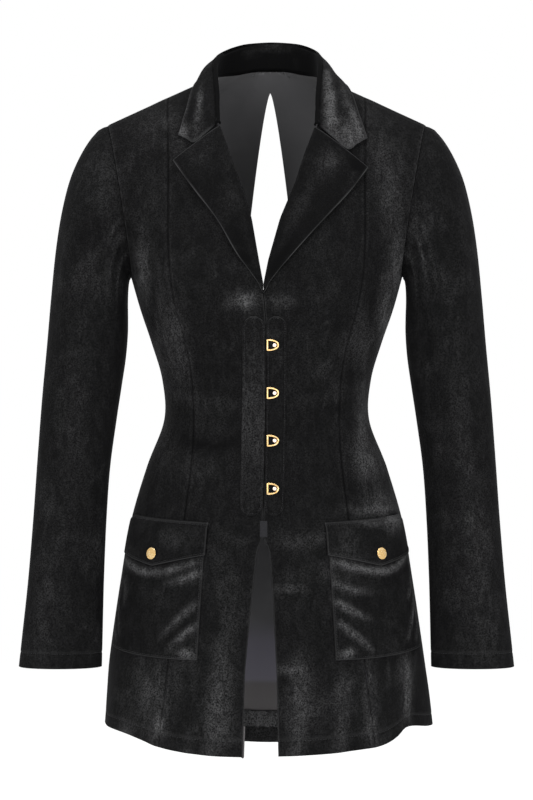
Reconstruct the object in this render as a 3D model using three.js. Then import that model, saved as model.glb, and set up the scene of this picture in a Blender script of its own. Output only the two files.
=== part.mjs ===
// A fitted velvet jacket, worn shape, in millimetres.
// +Z is up, the front faces -Y, and z = 0 is the level of the high shoulder points.
// "left" and "right" are as seen from the front: left is at -X.
import * as THREE from 'three';

// Cloth and seams
const clothWall = 1.8;        // velvet panel
const bandWall = 1.3;         // flaps, pockets and busk channels
const collarWall = 2;         // collar and lapels, two layers pressed together
const seamGap = 0.3;          // between neighbouring pieces
const layGap = 0.45;          // below a piece that lies on a panel

// Body of the jacket, one row for each level from the hem up
// z at the centre and at the side, half width, y of the side, y of the centre front and back, princess seam's x
const levels = [
  { centreZ: -760, sideZ: -736, halfWidth: 190, sideY: 4, frontY: -132, backY: 132, princessX: 118 },
  { centreZ: -706, sideZ: -696, halfWidth: 186.5, sideY: 4, frontY: -128, backY: 127, princessX: 114 },
  { centreZ: -640, sideZ: -636, halfWidth: 179, sideY: 4, frontY: -121, backY: 120, princessX: 108 },
  { centreZ: -572, sideZ: -572, halfWidth: 169.5, sideY: 4, frontY: -113, backY: 112, princessX: 101 },
  { centreZ: -505, sideZ: -505, halfWidth: 158, sideY: 4, frontY: -103, backY: 101, princessX: 94 },
  { centreZ: -440, sideZ: -440, halfWidth: 139, sideY: 4, frontY: -93, backY: 90, princessX: 86 },
  { centreZ: -386, sideZ: -386, halfWidth: 119, sideY: 3, frontY: -88, backY: 84, princessX: 83 },
  { centreZ: -340, sideZ: -340, halfWidth: 121, sideY: 2, frontY: -91, backY: 87, princessX: 85 },
  { centreZ: -298, sideZ: -298, halfWidth: 133, sideY: 1, frontY: -99, backY: 95, princessX: 92 },
  { centreZ: -259, sideZ: -259, halfWidth: 146, sideY: 0, frontY: -104, backY: 103, princessX: 103 },
  { centreZ: -224, sideZ: -221, halfWidth: 157, sideY: 0, frontY: -106.5, backY: 109, princessX: 109 },
];
// Above the underarm each row ends on the armhole, at an angle round it from the shoulder tip
const armholeLevels = [
  { angle: 164, frontZ: -207, backZ: -206, frontY: -105.5, backY: 112, frontTurn: 81, backTurn: 81, princessX: 110 },
  { angle: 145, frontZ: -186, backZ: -184, frontY: -102.5, backY: 114, frontTurn: 75, backTurn: 76, princessX: 111 },
  { angle: 125, frontZ: -156, backZ: -153.5, frontY: -96.5, backY: 115, frontTurn: 67, backTurn: 70, princessX: 112 },
  { angle: 101, frontZ: -114, backZ: -108.5, frontY: -86, backY: 113, frontTurn: 58, backTurn: 63, princessX: 112 },
  { angle: 79, frontZ: -70, backZ: -61.5, frontY: -71, backY: 106, frontTurn: 52, backTurn: 56, princessX: 112 },
  { angle: 58, frontZ: -28, backZ: -18.5, frontY: -52, backY: 94, frontTurn: 48, backTurn: 50, princessX: 113 },
  { angle: 47, frontZ: -8, backZ: 9.5, frontY: -41.5, backY: 81, frontTurn: 46.5, backTurn: 47, princessX: 113 },
  { angle: 36, frontZ: 10, backZ: 34, frontY: -29, backY: 66, frontTurn: 45, backTurn: 45, princessX: 114 },
  { angle: 27, frontZ: 22.5, backZ: 41.5, frontY: -20, backY: 52, frontTurn: 44.5, backTurn: 44.5, princessX: 114 },
  { angle: 18, frontZ: 32, backZ: 44.5, frontY: -12, backY: 36, frontTurn: 44, backTurn: 44, princessX: 114 },
  { angle: 9, frontZ: 37.5, backZ: 43.5, frontY: -5.5, backY: 18.5, frontTurn: 44, backTurn: 44, princessX: 114 },
  { angle: 0, frontZ: 40, backZ: 40, frontY: 1, backY: 1, frontTurn: 44, backTurn: 44, princessX: 114 },
];
const armhole = { midX: 171, midZ: -132.5, riseX: 14, riseZ: 88.5, bowX: 4.3, topY: 4, front: 47, back: 50 };
const underarmRow = levels.length - 1;
const topRow = underarmRow + armholeLevels.length;
const neckRow = topRow - 4;                       // the back neck seam starts at this row's centre
const backNeck = { halfWidth: 62.5, depth: 66 };    // plan ellipse of the back neck seam
const bust = { x: 84, z: -238, height: 12, spreadX: 50, spreadZ: 72 };
const levelBack = 30;                             // above the underarm the back's rows stay level up to this x
const keyhole = { topRow: topRow - 5, bottom: -345, widest: -190, halfWidth: 29, taper: 0.72 };
const sway = { reach: 4.5, startY: -10, depth: 75 };   // the jacket hangs slightly turned: its back moves towards +X
const levelsPerRow = 2.2;                         // mesh rows for each body row below the underarm

// Front edges, x at each z: slit, closed centre front, then the roll line up to the neck
const frontEdge = {
  left: [
    { z: -770, x: -27 }, { z: -667, x: -24 }, { z: -609, x: -18.7 }, { z: -533, x: -10.5 }, { z: -517, x: -4.6 },
    { z: -492, x: -4 }, { z: -440, x: -2.4 }, { z: -345, x: -0.8 }, { z: -275, x: -0.8 }, { z: -243, x: -3.8 },
    { z: -206, x: -10.6 }, { z: -158, x: -18.9 }, { z: -132, x: -26.5 }, { z: -81, x: -44 }, { z: -46, x: -56.5 },
    { z: -10, x: -60.5 }, { z: 20, x: -62.5 },
  ],
  right: [
    { z: -770, x: 13.5 }, { z: -667, x: 11.2 }, { z: -590, x: 7.3 }, { z: -533, x: 3.2 }, { z: -517, x: -3.6 },
    { z: -492, x: -3.7 }, { z: -440, x: -2.1 }, { z: -345, x: -0.5 }, { z: -275, x: -0.5 }, { z: -243, x: -3.4 },
    { z: -206, x: 4 }, { z: -158, x: 17.5 }, { z: -117, x: 34.5 }, { z: -81, x: 46 }, { z: -48, x: 58.5 },
    { z: -10, x: 61.5 }, { z: 20, x: 62.5 },
  ],
};

// Soft folds of the skirt: degrees from centre front round to centre back, growing from topZ to the hem
const skirtFolds = [
  { side: -1, at: 36, width: 8, height: 4, topZ: -600 },
  { side: -1, at: 66, width: 9, height: 4.5, topZ: -640 },
  { side: -1, at: 87, width: 6, height: -5, topZ: -655 },
  { side: -1, at: 118, width: 11, height: 6, topZ: -560 },
  { side: -1, at: 149, width: 10, height: 4, topZ: -610 },
  { side: 1, at: 20, width: 7, height: 2.5, topZ: -630 },
  { side: 1, at: 41, width: 7, height: 4.5, topZ: -590 },
  { side: 1, at: 60, width: 6, height: -6, topZ: -650 },
  { side: 1, at: 78, width: 9, height: 5, topZ: -600 },
  { side: 1, at: 112, width: 9, height: -4.5, topZ: -620 },
  { side: 1, at: 138, width: 12, height: 6, topZ: -570 },
];
const hemSteps = [
  { side: -1, at: 88, width: 5, rise: 8 },
  { side: 1, at: 61, width: 5, rise: 8 },
  { side: -1, at: 64, width: 7, rise: 3 },
  { side: -1, at: 27, width: 10, rise: -3.2 },
  { side: 1, at: 40, width: 9, rise: -2.6 },
  { side: -1, at: 180, width: 28, rise: -16 },
  { side: 1, at: 180, width: 28, rise: -16 },
];
const hemStepTop = -660;

// Sleeve rings: outer and inner point in the front view, y of the centre, half depth
const sleeveRings = [
  { outerX: 195, outerZ: -50.5, innerX: 160, innerZ: -225, y: 3, half: 49.5 },
  { outerX: 206, outerZ: -63, innerX: 161, innerZ: -232, y: 3, half: 50.5 },
  { outerX: 218, outerZ: -83, innerX: 161.5, innerZ: -241, y: 3, half: 51 },
  { outerX: 229, outerZ: -110, innerX: 161.5, innerZ: -253, y: 2, half: 50 },
  { outerX: 238, outerZ: -148, innerX: 161, innerZ: -268, y: 0, half: 48.5 },
  { outerX: 244.5, outerZ: -192, innerX: 161, innerZ: -288, y: -2, half: 46.5 },
  { outerX: 249.5, outerZ: -245, innerX: 163, innerZ: -315, y: -5, half: 44 },
  { outerX: 254, outerZ: -300, innerX: 167.5, innerZ: -347, y: -8, half: 42 },
  { outerX: 259.5, outerZ: -363, innerX: 173.5, innerZ: -388, y: -12, half: 39.5 },
  { outerX: 264.5, outerZ: -433, innerX: 180.5, innerZ: -442, y: -16, half: 37 },
  { outerX: 269, outerZ: -502, innerX: 184.5, innerZ: -504, y: -21, half: 34.5 },
  { outerX: 274.5, outerZ: -572, innerX: 187, innerZ: -572, y: -26, half: 33 },
  { outerX: 281, outerZ: -635, innerX: 188.3, innerZ: -635, y: -30, half: 33.5 },
  { outerX: 284.5, outerZ: -669, innerX: 189, innerZ: -669, y: -32, half: 34.5 },
];
const headGathers = { height: 1.3, spacing: 18, fadeRings: 4, reach: 75 };
const sleeveFolds = [
  { at: 62, width: 16, height: 3, topRing: 2, endRing: 9 },
  { at: 118, width: 15, height: -2.5, topRing: 5, endRing: 12 },
  { at: 240, width: 18, height: 3, topRing: 3, endRing: 10 },
];

// Collar, half of it from the centre back to the gorge: fold line and leaf edge.
// Where the leaf's edge has no y, it lies on the front.
const collarStations = {
  left: [
    { foldX: -2, foldY: 64, foldZ: 60, edgeX: -2, edgeY: 82, edgeZ: 14 },
    { foldX: 27, foldY: 56, foldZ: 57, edgeX: 34, edgeY: 76, edgeZ: 12 },
    { foldX: 48, foldY: 33, foldZ: 47, edgeX: 59, edgeY: 46, edgeZ: 14.5 },
    { foldX: 57.5, foldY: 4, foldZ: 33, edgeX: 73.5, edgeY: 5, edgeZ: 10.5 },
    { foldX: 57.5, foldY: -17, foldZ: 14, edgeX: 84, edgeZ: -6 },
    { foldX: 55.5, foldY: -36, foldZ: -11, edgeX: 92, edgeZ: -35 },
    { foldX: 54, foldY: -56, foldZ: -46.5, edgeX: 100, edgeZ: -62 },
  ],
  right: [
    { foldX: 2, foldY: 64, foldZ: 60, edgeX: 2, edgeY: 82, edgeZ: 14 },
    { foldX: 31, foldY: 56, foldZ: 57, edgeX: 38, edgeY: 76, edgeZ: 12 },
    { foldX: 51.5, foldY: 33, foldZ: 47, edgeX: 63, edgeY: 46, edgeZ: 14.5 },
    { foldX: 60, foldY: 4, foldZ: 33, edgeX: 81, edgeY: 5, edgeZ: 6.5 },
    { foldX: 60, foldY: -17, foldZ: 14, edgeX: 94, edgeZ: -6 },
    { foldX: 58, foldY: -36, foldZ: -11, edgeX: 104.5, edgeZ: -35 },
    { foldX: 56.5, foldY: -57.5, foldZ: -48, edgeX: 114.5, edgeZ: -65.5 },
  ],
};
const notch = { left: { x: 81.5, z: -71.4 }, right: { x: 91, z: -79.6 } };   // where the collar meets the lapel's edge
const collar = { steps: 22, foldRadius: 2.6, foldDrop: 3, bulge: 4, edgeLift: 2.2 };

// Lapels: height on the roll line and outer edge, from the break up; the last row is the gorge and notch line
const lapels = {
  left: [
    { rollZ: -233, edgeX: 10.5, edgeZ: -230 },
    { rollZ: -222, edgeX: 19.5, edgeZ: -218 },
    { rollZ: -200, edgeX: 35, edgeZ: -197 },
    { rollZ: -156, edgeX: 56, edgeZ: -160 },
    { rollZ: -112, edgeX: 80.5, edgeZ: -127 },
    { rollZ: -76, edgeX: 95, edgeZ: -107 },
    { rollZ: -51, edgeX: 105.5, edgeZ: -92 },
  ],
  right: [
    { rollZ: -233, edgeX: 4, edgeZ: -230 },
    { rollZ: -222, edgeX: 13.5, edgeZ: -218 },
    { rollZ: -200, edgeX: 31, edgeZ: -198 },
    { rollZ: -156, edgeX: 62, edgeZ: -163 },
    { rollZ: -112, edgeX: 91, edgeZ: -131 },
    { rollZ: -76, edgeX: 105, edgeZ: -113 },
    { rollZ: -53, edgeX: 114.5, edgeZ: -100 },
  ],
};
const lapelWall = 1.6;
const lapelSteps = 14;
const lapelLift = 3.5;                             // the outer edge stands this far off the front
// Shares of a lapel's width, from the roll line to its edge
const lapelColumns = [0.05, 0.2, 0.4, 0.6, 0.8, 1];

// Pockets and flaps, from the share of the front's quarter turn and z
const pocket = { inner: 0.28, outer: 0.86, topZ: -507, bottomZ: -655, outerRise: 9, puff: 3.2 };
const flap = { inner: 0.272, outer: 0.868, topZ: -501, outerRise: 7, bottomZ: -538, point: 0.545, pointZ: -552 };
const flapStep = 8;                                // from the flap's sewn edge to where it rides on the pocket
const snap = { at: 0.536, z: -538, radius: 7, height: 2.2 };

// Busk
const channel = { left: 26, right: 23, topZ: -269, bottomZ: -493, steps: 16 };
const loop = { width: 14, height: 13.6, rim: 2, thickness: 1.3, startX: 0 };
const loopZ = [-300.7, -354.9, -409.1, -463.3];
const stud = { radius: 2.2, height: 2.6, fromFlat: 9 };
const tack = { leftX: -7.5, rightX: 1, topZ: -499, bottomZ: -517, thickness: 0.8 };

const colours = {
  velvet: { color: 0x0b0b0c, roughness: 0.85, metalness: 0 },
  brass: { color: 0xd9b878, roughness: 0.3, metalness: 1 },
  stud: { color: 0xe6ddc9, roughness: 0.35, metalness: 0.8 },
};

const degrees = Math.PI / 180;
const lerp = (a, b, t) => a + (b - a) * t;
const smooth = (t) => {
  const c = Math.min(1, Math.max(0, t));
  return c * c * (3 - 2 * c);
};
const range = (count, from = 0, to = 1) =>
  Array.from({ length: count + 1 }, (_, i) => lerp(from, to, i / count));

// A value from a table at a fractional row, through its rows without a kink, except at a corner row
function spline(rows, key, at, corner = -1) {
  const i = Math.min(rows.length - 2, Math.max(0, Math.floor(at)));
  const t = at - i;
  const p1 = rows[i][key];
  const p2 = rows[i + 1][key];
  const p0 = i > 0 && i !== corner ? rows[i - 1][key] : 2 * p1 - p2;
  const p3 = i + 2 < rows.length && i + 1 !== corner ? rows[i + 2][key] : 2 * p2 - p1;
  const m1 = (p2 - p0) / 2;
  const m2 = (p3 - p1) / 2;
  const tt = t * t;
  const ttt = tt * t;
  return (2 * ttt - 3 * tt + 1) * p1 + (ttt - 2 * tt + t) * m1 + (3 * tt - 2 * ttt) * p2 + (ttt - tt) * m2;
}

// x of a front edge at a height
function edgeAt(rows, z) {
  let i = 0;
  while (i < rows.length - 2 && rows[i + 1].z < z) i += 1;
  const t = Math.min(1, Math.max(0, (z - rows[i].z) / (rows[i + 1].z - rows[i].z)));
  return lerp(rows[i].x, rows[i + 1].x, t);
}

function armholePoint(angle, half) {
  const c = Math.cos(angle * degrees);
  const s = Math.sin(angle * degrees);
  const depth = half === 'front' ? -armhole.front : armhole.back;
  return {
    x: armhole.midX + armhole.riseX * c - armhole.bowX * s,
    y: (armhole.topY / 2) * (1 + c) + depth * s,
    z: armhole.midZ + armhole.riseZ * c,
  };
}

// One table for each half, with the same columns for the rows below and above the underarm
function bodyRows(half) {
  const lower = levels.map((row) => ({
    centreZ: row.centreZ,
    endZ: row.sideZ,
    endX: row.halfWidth,
    endY: row.sideY,
    centreY: half === 'front' ? row.frontY : row.backY,
    turn: 90,
    bend: 2,
    princessX: row.princessX,
  }));
  const upper = armholeLevels.map((row) => {
    const end = armholePoint(row.angle, half);
    return {
      centreZ: half === 'front' ? row.frontZ : row.backZ,
      endZ: end.z,
      endX: end.x,
      endY: end.y,
      centreY: half === 'front' ? row.frontY : row.backY,
      turn: half === 'front' ? row.frontTurn : row.backTurn,
      bend: 1,
      princessX: row.princessX,
    };
  });
  return [...lower, ...upper];
}
const sideKeys = ['endX', 'endY', 'endZ', 'turn', 'bend'];   // these turn a corner at the underarm
const armholeKeys = ['endX', 'endY', 'endZ'];                // and these run straight from row to row above it
const bodyTable = { front: bodyRows('front'), back: bodyRows('back') };

function rowAt(half, v) {
  const rows = bodyTable[half];
  const row = {};
  const i = Math.min(rows.length - 2, Math.floor(v));
  for (const key of Object.keys(rows[0])) {
    const straight = v > underarmRow && armholeKeys.includes(key);
    row[key] = straight
      ? lerp(rows[i][key], rows[i + 1][key], v - i)
      : spline(rows, key, v, sideKeys.includes(key) ? underarmRow : -1);
  }
  return row;
}

// Share of the quarter turn at which a row reaches x
function shareAt(row, x) {
  const sine = Math.min(1, Math.max(-1, (x * Math.sin(row.turn * degrees)) / row.endX));
  return Math.asin(sine) / (row.turn * degrees);
}

// A point of the body: half is front or back, side is -1 or 1, share runs from the centre to the side
function bodyPoint(half, side, share, v) {
  const row = rowAt(half, v);
  const turn = row.turn * degrees;
  let x = (row.endX * Math.sin(turn * share)) / Math.sin(turn);
  const bow = (Math.cos(turn * share) - Math.cos(turn)) / (1 - Math.cos(turn));
  let y = row.endY + (row.centreY - row.endY) * bow;
  const level = half === 'back' ? levelBack * Math.min(1, Math.max(0, v - underarmRow)) : 0;
  const reach = (Math.abs(x) < level ? (x * x / level + level) / 2 : Math.abs(x)) / row.endX;
  let z = row.centreZ + (row.endZ - row.centreZ) * reach ** row.bend;
  if (half === 'front') {
    const away = ((x - bust.x) / bust.spreadX) ** 2 + ((z - bust.z) / bust.spreadZ) ** 2;
    y -= bust.height * Math.exp(-away) * (1 - Math.min(1, Math.abs(share)) ** 6);
  }
  const around = half === 'front' ? 90 * share : 180 - 90 * share;
  const length = Math.max(1, Math.hypot(x, y - row.endY));
  for (const fold of skirtFolds.filter((f) => f.side === side)) {
    const out = fold.height * Math.exp(-(((around - fold.at) / fold.width) ** 2))
      * smooth((fold.topZ - z) / (fold.topZ - levels[0].centreZ));
    x += (out * x) / length;
    y += (out * (y - row.endY)) / length;
  }
  for (const step of hemSteps.filter((s) => s.side === side)) {
    z += step.rise * Math.exp(-(((around - step.at) / (2 * step.width)) ** 2))
      * smooth((hemStepTop - z) / (hemStepTop - levels[0].centreZ));
  }
  return new THREE.Vector3(side * x, y, z);
}

function bodyNormal(half, side, share, v) {
  const step = 0.004;
  const up = v > underarmRow ? Math.min(topRow, v + 0.05) : Math.min(underarmRow, v + 0.05);
  const down = v > underarmRow ? Math.max(underarmRow, v - 0.05) : Math.max(0, v - 0.05);
  const across = bodyPoint(half, side, share + step, v).sub(bodyPoint(half, side, share - step, v));
  const along = bodyPoint(half, side, share, up).sub(bodyPoint(half, side, share, down));
  const normal = across.cross(along).normalize();
  return normal.multiplyScalar((half === 'front' ? 1 : -1) * side);
}

// Row and share of the front at a height, for pieces placed by z
function frontRowAtHeight(side, share, z) {
  let low = 0;
  let high = topRow;
  for (let i = 0; i < 40; i += 1) {
    const mid = (low + high) / 2;
    if (bodyPoint('front', side, share, mid).z < z) low = mid;
    else high = mid;
  }
  return (low + high) / 2;
}

function onFront(side, share, z, out) {
  const v = frontRowAtHeight(side, share, z);
  return bodyPoint('front', side, share, v).addScaledVector(bodyNormal('front', side, share, v), out);
}

// The same, placed by x and z in the front view; x counts outwards from the centre
function onFrontAt(side, x, z, out) {
  let share = x / 200;
  for (let i = 0; i < 12; i += 1) {
    const row = rowAt('front', frontRowAtHeight(side, share, z));
    share = shareAt(row, x);
  }
  return onFront(side, share, z, out);
}

const swayed = (p) => [p.x + sway.reach * smooth((p.y - sway.startY) / sway.depth), p.y, p.z];

// A closed wall between two layers of points. A patch holds two grids with the same rows and columns.
// Points that coincide are joined, and a rim closes every open edge.
function wallGeometry(patches) {
  const points = [];
  const index = new Map();
  const vertex = (point, layer) => {
    const key = [point.x, point.y, point.z].map((c) => Math.round(c * 500)).join() + layer;
    if (!index.has(key)) {
      index.set(key, points.length);
      points.push(point);
    }
    return index.get(key);
  };
  const faces = [];
  const open = new Map();
  const addFace = (a, b, c) => {
    if (a[0] === b[0] || b[0] === c[0] || c[0] === a[0]) return;
    faces.push([a[0], b[0], c[0]], [c[1], b[1], a[1]]);
    for (const [p, q] of [[a, b], [b, c], [c, a]]) {
      const back = q[0] + '_' + p[0];
      if (open.has(back)) open.delete(back);
      else open.set(p[0] + '_' + q[0], [p, q]);
    }
  };
  for (const { outer, inner } of patches) {
    const pairs = outer.map((row, j) => row.map((point, i) => [vertex(point, 'o'), vertex(inner[j][i], 'i')]));
    for (let j = 0; j + 1 < pairs.length; j += 1) {
      for (let i = 0; i + 1 < pairs[j].length; i += 1) {
        addFace(pairs[j][i], pairs[j][i + 1], pairs[j + 1][i + 1]);
        addFace(pairs[j][i], pairs[j + 1][i + 1], pairs[j + 1][i]);
      }
    }
  }
  for (const [p, q] of open.values()) faces.push([q[0], p[0], p[1]], [q[0], p[1], q[1]]);
  let volume = 0;
  for (const [a, b, c] of faces) volume += points[a].dot(points[b].clone().cross(points[c]));
  const geometry = new THREE.BufferGeometry();
  geometry.setAttribute('position', new THREE.Float32BufferAttribute(points.flatMap(swayed), 3));
  geometry.setIndex(faces.flatMap(([a, b, c]) => (volume < 0 ? [a, c, b] : [a, b, c])));
  geometry.computeVertexNormals();
  return geometry;
}

const group = new THREE.Group();

function addPiece(name, geometry, colour) {
  const mesh = new THREE.Mesh(geometry, new THREE.MeshStandardMaterial({ ...colour, side: THREE.FrontSide }));
  mesh.name = name;
  group.add(mesh);
  return mesh;
}

function addWall(name, ...patches) {
  return addPiece(name, wallGeometry(patches), colours.velvet);
}

// Every panel has the same rows, so that the seams of neighbours run side by side
const backRowAt = (z) => {
  let low = 0;
  let high = underarmRow;
  for (let i = 0; i < 40; i += 1) {
    const mid = (low + high) / 2;
    if (rowAt('back', mid).centreZ < z) low = mid;
    else high = mid;
  }
  return (low + high) / 2;
};
const keyholeRows = [0, 5, 20].map((rise) => backRowAt(keyhole.bottom + rise));
const lowerRows = range(Math.round(underarmRow * levelsPerRow), 0, underarmRow)
  .filter((v) => keyholeRows.every((k) => Math.abs(v - k) > 0.2));
const neckRows = [0.07, 0.25, 0.55].map((t) => neckRow + t);
const upperRows = range(topRow - underarmRow, underarmRow, topRow).slice(1);
const panelRows = [...lowerRows, ...keyholeRows, ...upperRows, ...neckRows]
  .sort((a, b) => a - b);
const sideNames = { '-1': 'left', 1: 'right' };

// Direction of the sleeve's surface at the armhole, to mitre the two walls where they meet in a ridge
function seamNormal(half, side, v) {
  const torso = panelNormal(half, side, 1, v);
  const sleeve = sleeveHeadNormal(half, side, v);
  if (side * (sleeve.x - torso.x) <= 0) return { torso, sleeve };
  const both = torso.clone().add(sleeve).normalize();
  return { torso: both, sleeve: both };
}

// On the shoulder seam front and back share one direction, so that their walls stay apart
function panelNormal(half, side, share, v) {
  if (v < topRow) return bodyNormal(half, side, share, v);
  return bodyNormal('front', side, share, v).add(bodyNormal('back', side, share, v)).normalize();
}

// A panel from its inner share to its outer share; both are functions of the row
function panelGrids(half, side, rows, columns, startShare, endShare, insets) {
  const outer = [];
  const inner = [];
  for (const v of rows) {
    const from = startShare(v);
    const to = endShare(v);
    const span = bodyPoint(half, side, from, v).distanceTo(bodyPoint(half, side, to, v));
    const perMillimetre = (to - from) / Math.max(span, 1);
    const a = from + insets.start * perMillimetre;
    const b = to - insets.end * perMillimetre;
    const atArmhole = v > underarmRow && to > 0.999;
    outer.push([]);
    inner.push([]);
    for (const t of range(columns)) {
      const share = lerp(a, b, t);
      const point = bodyPoint(half, side, share, v);
      const last = t === 1 && atArmhole;
      const normal = last ? seamNormal(half, side, v).torso : panelNormal(half, side, share, v);
      outer.at(-1).push(point);
      inner.at(-1).push(point.clone().addScaledVector(normal, -clothWall));
    }
  }
  return { outer, inner };
}

const inset = seamGap / 2;

// Fronts: centre panel to the princess seam, side panel beyond it
function startOfFront(side) {
  const rows = frontEdge[sideNames[side]];
  return (v) => {
    const row = rowAt('front', v);
    let share = 0;
    for (let i = 0; i < 10; i += 1) {
      const z = bodyPoint('front', side, share, v).z;
      share = shareAt(row, side * edgeAt(rows, z));
    }
    return share;
  };
}
const princessShare = (v) => {
  const row = rowAt('front', v);
  return shareAt(row, row.princessX);
};

function dropTop(grids) {
  // The top row is moved down by half a seam, so that front and back stay apart on the shoulder
  const last = grids.outer.length - 1;
  for (const grid of [grids.outer, grids.inner]) {
    grid[last] = grid[last].map((point, i) => {
      const towards = grid[last - 1][i].clone().sub(point).normalize();
      return point.clone().addScaledVector(towards, inset);
    });
  }
  return grids;
}

function addFronts(side) {
  const name = sideNames[side];
  const centre = dropTop(panelGrids('front', side, panelRows, 6, startOfFront(side), princessShare,
    { start: 0, end: inset }));
  addWall(`front_centre_${name}`, centre);
  const outerSide = dropTop(panelGrids('front', side, panelRows, 5, princessShare, () => 1, { start: inset, end: inset }));
  addWall(`front_side_${name}`, outerSide);
}

// Back: one panel, open at the keyhole and cut away round the back neck
function keyholeHalfWidth(z) {
  const top = bodyPoint('back', 1, 0, keyhole.topRow).z;
  if (z >= top - 0.01 || z <= keyhole.bottom + 0.01) return 0;
  if (z > keyhole.widest) return keyhole.halfWidth * ((top - z) / (top - keyhole.widest)) ** keyhole.taper;
  const down = (keyhole.widest - z) / (keyhole.widest - keyhole.bottom);
  return keyhole.halfWidth * Math.sqrt(1 - down ** 2);
}

function startOfBack(v) {
  const row = rowAt('back', v);
  if (v <= neckRow) return shareAt(row, keyholeHalfWidth(bodyPoint('back', 1, 0, v).z));
  let low = 0;
  let high = 0.5;
  for (let i = 0; i < 40; i += 1) {
    const mid = (low + high) / 2;
    const point = bodyPoint('back', 1, mid, v);
    const inside = (point.x / backNeck.halfWidth) ** 2 + (point.y / backNeck.depth) ** 2 < 1;
    if (inside) low = mid;
    else high = mid;
  }
  return (low + high) / 2;
}

function addBack() {
  const halves = [-1, 1].map((side) => panelGrids('back', side, panelRows, 9, startOfBack, () => 1,
    { start: 0, end: inset }));
  halves[0].outer.forEach((row) => row.reverse());
  halves[0].inner.forEach((row) => row.reverse());
  addWall('back', ...halves.map(dropTop));
}

// Sleeves: rings that turn from the armhole's plane to the level cuff
const quarterAngles = [...armholeLevels.map((row) => row.angle).reverse(), 180];
const sleeveAngles = [...quarterAngles, ...quarterAngles.slice(0, -1).reverse().map((a) => 360 - a)];

// The body's row that ends at an angle round the armhole
function armholeRow(angle) {
  const fold = angle <= 180 ? angle : 360 - angle;
  let i = 0;
  while (i < quarterAngles.length - 2 && quarterAngles[i + 1] <= fold) i += 1;
  const t = (fold - quarterAngles[i]) / (quarterAngles[i + 1] - quarterAngles[i]);
  return { half: angle <= 180 ? 'front' : 'back', v: topRow - i - t };
}

function sleevePoint(side, ring, angle) {
  if (ring <= 0) {
    const seam = armholeRow(angle);
    return bodyPoint(seam.half, side, 1, seam.v).add(new THREE.Vector3(side * seamGap, 0, 0));
  }
  const at = ring - 1;
  const value = (key) => spline(sleeveRings, key, at);
  const c = Math.cos(angle * degrees);
  const s = Math.sin(angle * degrees);
  const midX = (value('outerX') + value('innerX')) / 2;
  const midZ = (value('outerZ') + value('innerZ')) / 2;
  const spanX = (value('outerX') - value('innerX')) / 2;
  const spanZ = (value('outerZ') - value('innerZ')) / 2;
  const point = new THREE.Vector3(side * (midX + spanX * c), value('y') - value('half') * s, midZ + spanZ * c);
  const centre = new THREE.Vector3(side * midX, value('y'), midZ);
  const out = point.clone().sub(centre).normalize();
  let push = 0;
  const fromTop = Math.min(angle, 360 - angle);
  if (fromTop < headGathers.reach) {
    push += headGathers.height * Math.cos((angle * 360 * degrees) / headGathers.spacing)
      * Math.max(0, 1 - Math.abs(ring - 1.2) / headGathers.fadeRings) * (1 - (fromTop / headGathers.reach) ** 2);
  }
  for (const fold of sleeveFolds) {
    const t = (ring - fold.topRing) / (fold.endRing - fold.topRing);
    if (t <= 0 || t >= 1) continue;
    push += fold.height * Math.sin(Math.PI * t) * Math.exp(-(((angle - fold.at) / fold.width) ** 2));
  }
  return point.addScaledVector(out, push);
}

function sleeveNormal(side, ring, angle) {
  const around = sleevePoint(side, ring, (angle + 364) % 360).sub(sleevePoint(side, ring, (angle + 356) % 360));
  const first = Math.max(ring - 0.5, 1);
  const along = ring < 1
    ? sleevePoint(side, 1, angle).sub(sleevePoint(side, 0, angle))
    : sleevePoint(side, Math.min(ring + 0.5, sleeveRings.length), angle).sub(sleevePoint(side, first, angle));
  return around.cross(along).normalize().multiplyScalar(side);
}

function sleeveHeadNormal(half, side, v) {
  const at = topRow - v;
  const i = Math.floor(at);
  const knot = lerp(quarterAngles[i], quarterAngles[Math.min(i + 1, quarterAngles.length - 1)], at - i);
  return sleeveNormal(side, 0, half === 'front' ? knot : 360 - knot);
}

function addSleeve(side) {
  const outer = [];
  const inner = [];
  for (const ring of range(sleeveRings.length, 0, sleeveRings.length)) {
    const points = sleeveAngles.map((angle) => sleevePoint(side, ring, angle % 360));
    const normals = sleeveAngles.map((angle) => {
      const around = angle % 360;
      if (ring > 0) return sleeveNormal(side, ring, around);
      const seam = armholeRow(around);
      return seamNormal(seam.half, side, seam.v).sleeve;
    });
    outer.push(points);
    inner.push(points.map((point, i) => point.clone().addScaledVector(normals[i], -clothWall)));
  }
  addWall(`sleeve_${sideNames[side]}`, { outer, inner });
}

// The neck seam from the centre back (0) round to the gorge (1): its point, and the panel's normal there
function neckSeam(side, t) {
  const half = t < 0.5 ? 'back' : 'front';
  const start = half === 'back' ? startOfBack : startOfFront(side);
  let v = topRow;
  if (t < 0.5) {
    const y = backNeck.depth * Math.cos(t * Math.PI);
    let low = neckRow;
    let high = topRow;
    for (let i = 0; i < 40; i += 1) {
      v = (low + high) / 2;
      if (bodyPoint(half, side, start(v), v).y > y) low = v;
      else high = v;
    }
  } else {
    const gorge = frontRowAtHeight(side, start(topRow - 6), lapels[sideNames[side]].at(-1).rollZ + 3);
    v = lerp(topRow, gorge, t * 2 - 1);
  }
  return { point: bodyPoint(half, side, start(v), v), normal: bodyNormal(half, side, start(v), v) };
}

const up = new THREE.Vector3(0, 0, 1);
const mix = (a, b, t) => a.clone().lerp(b, t);

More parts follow.
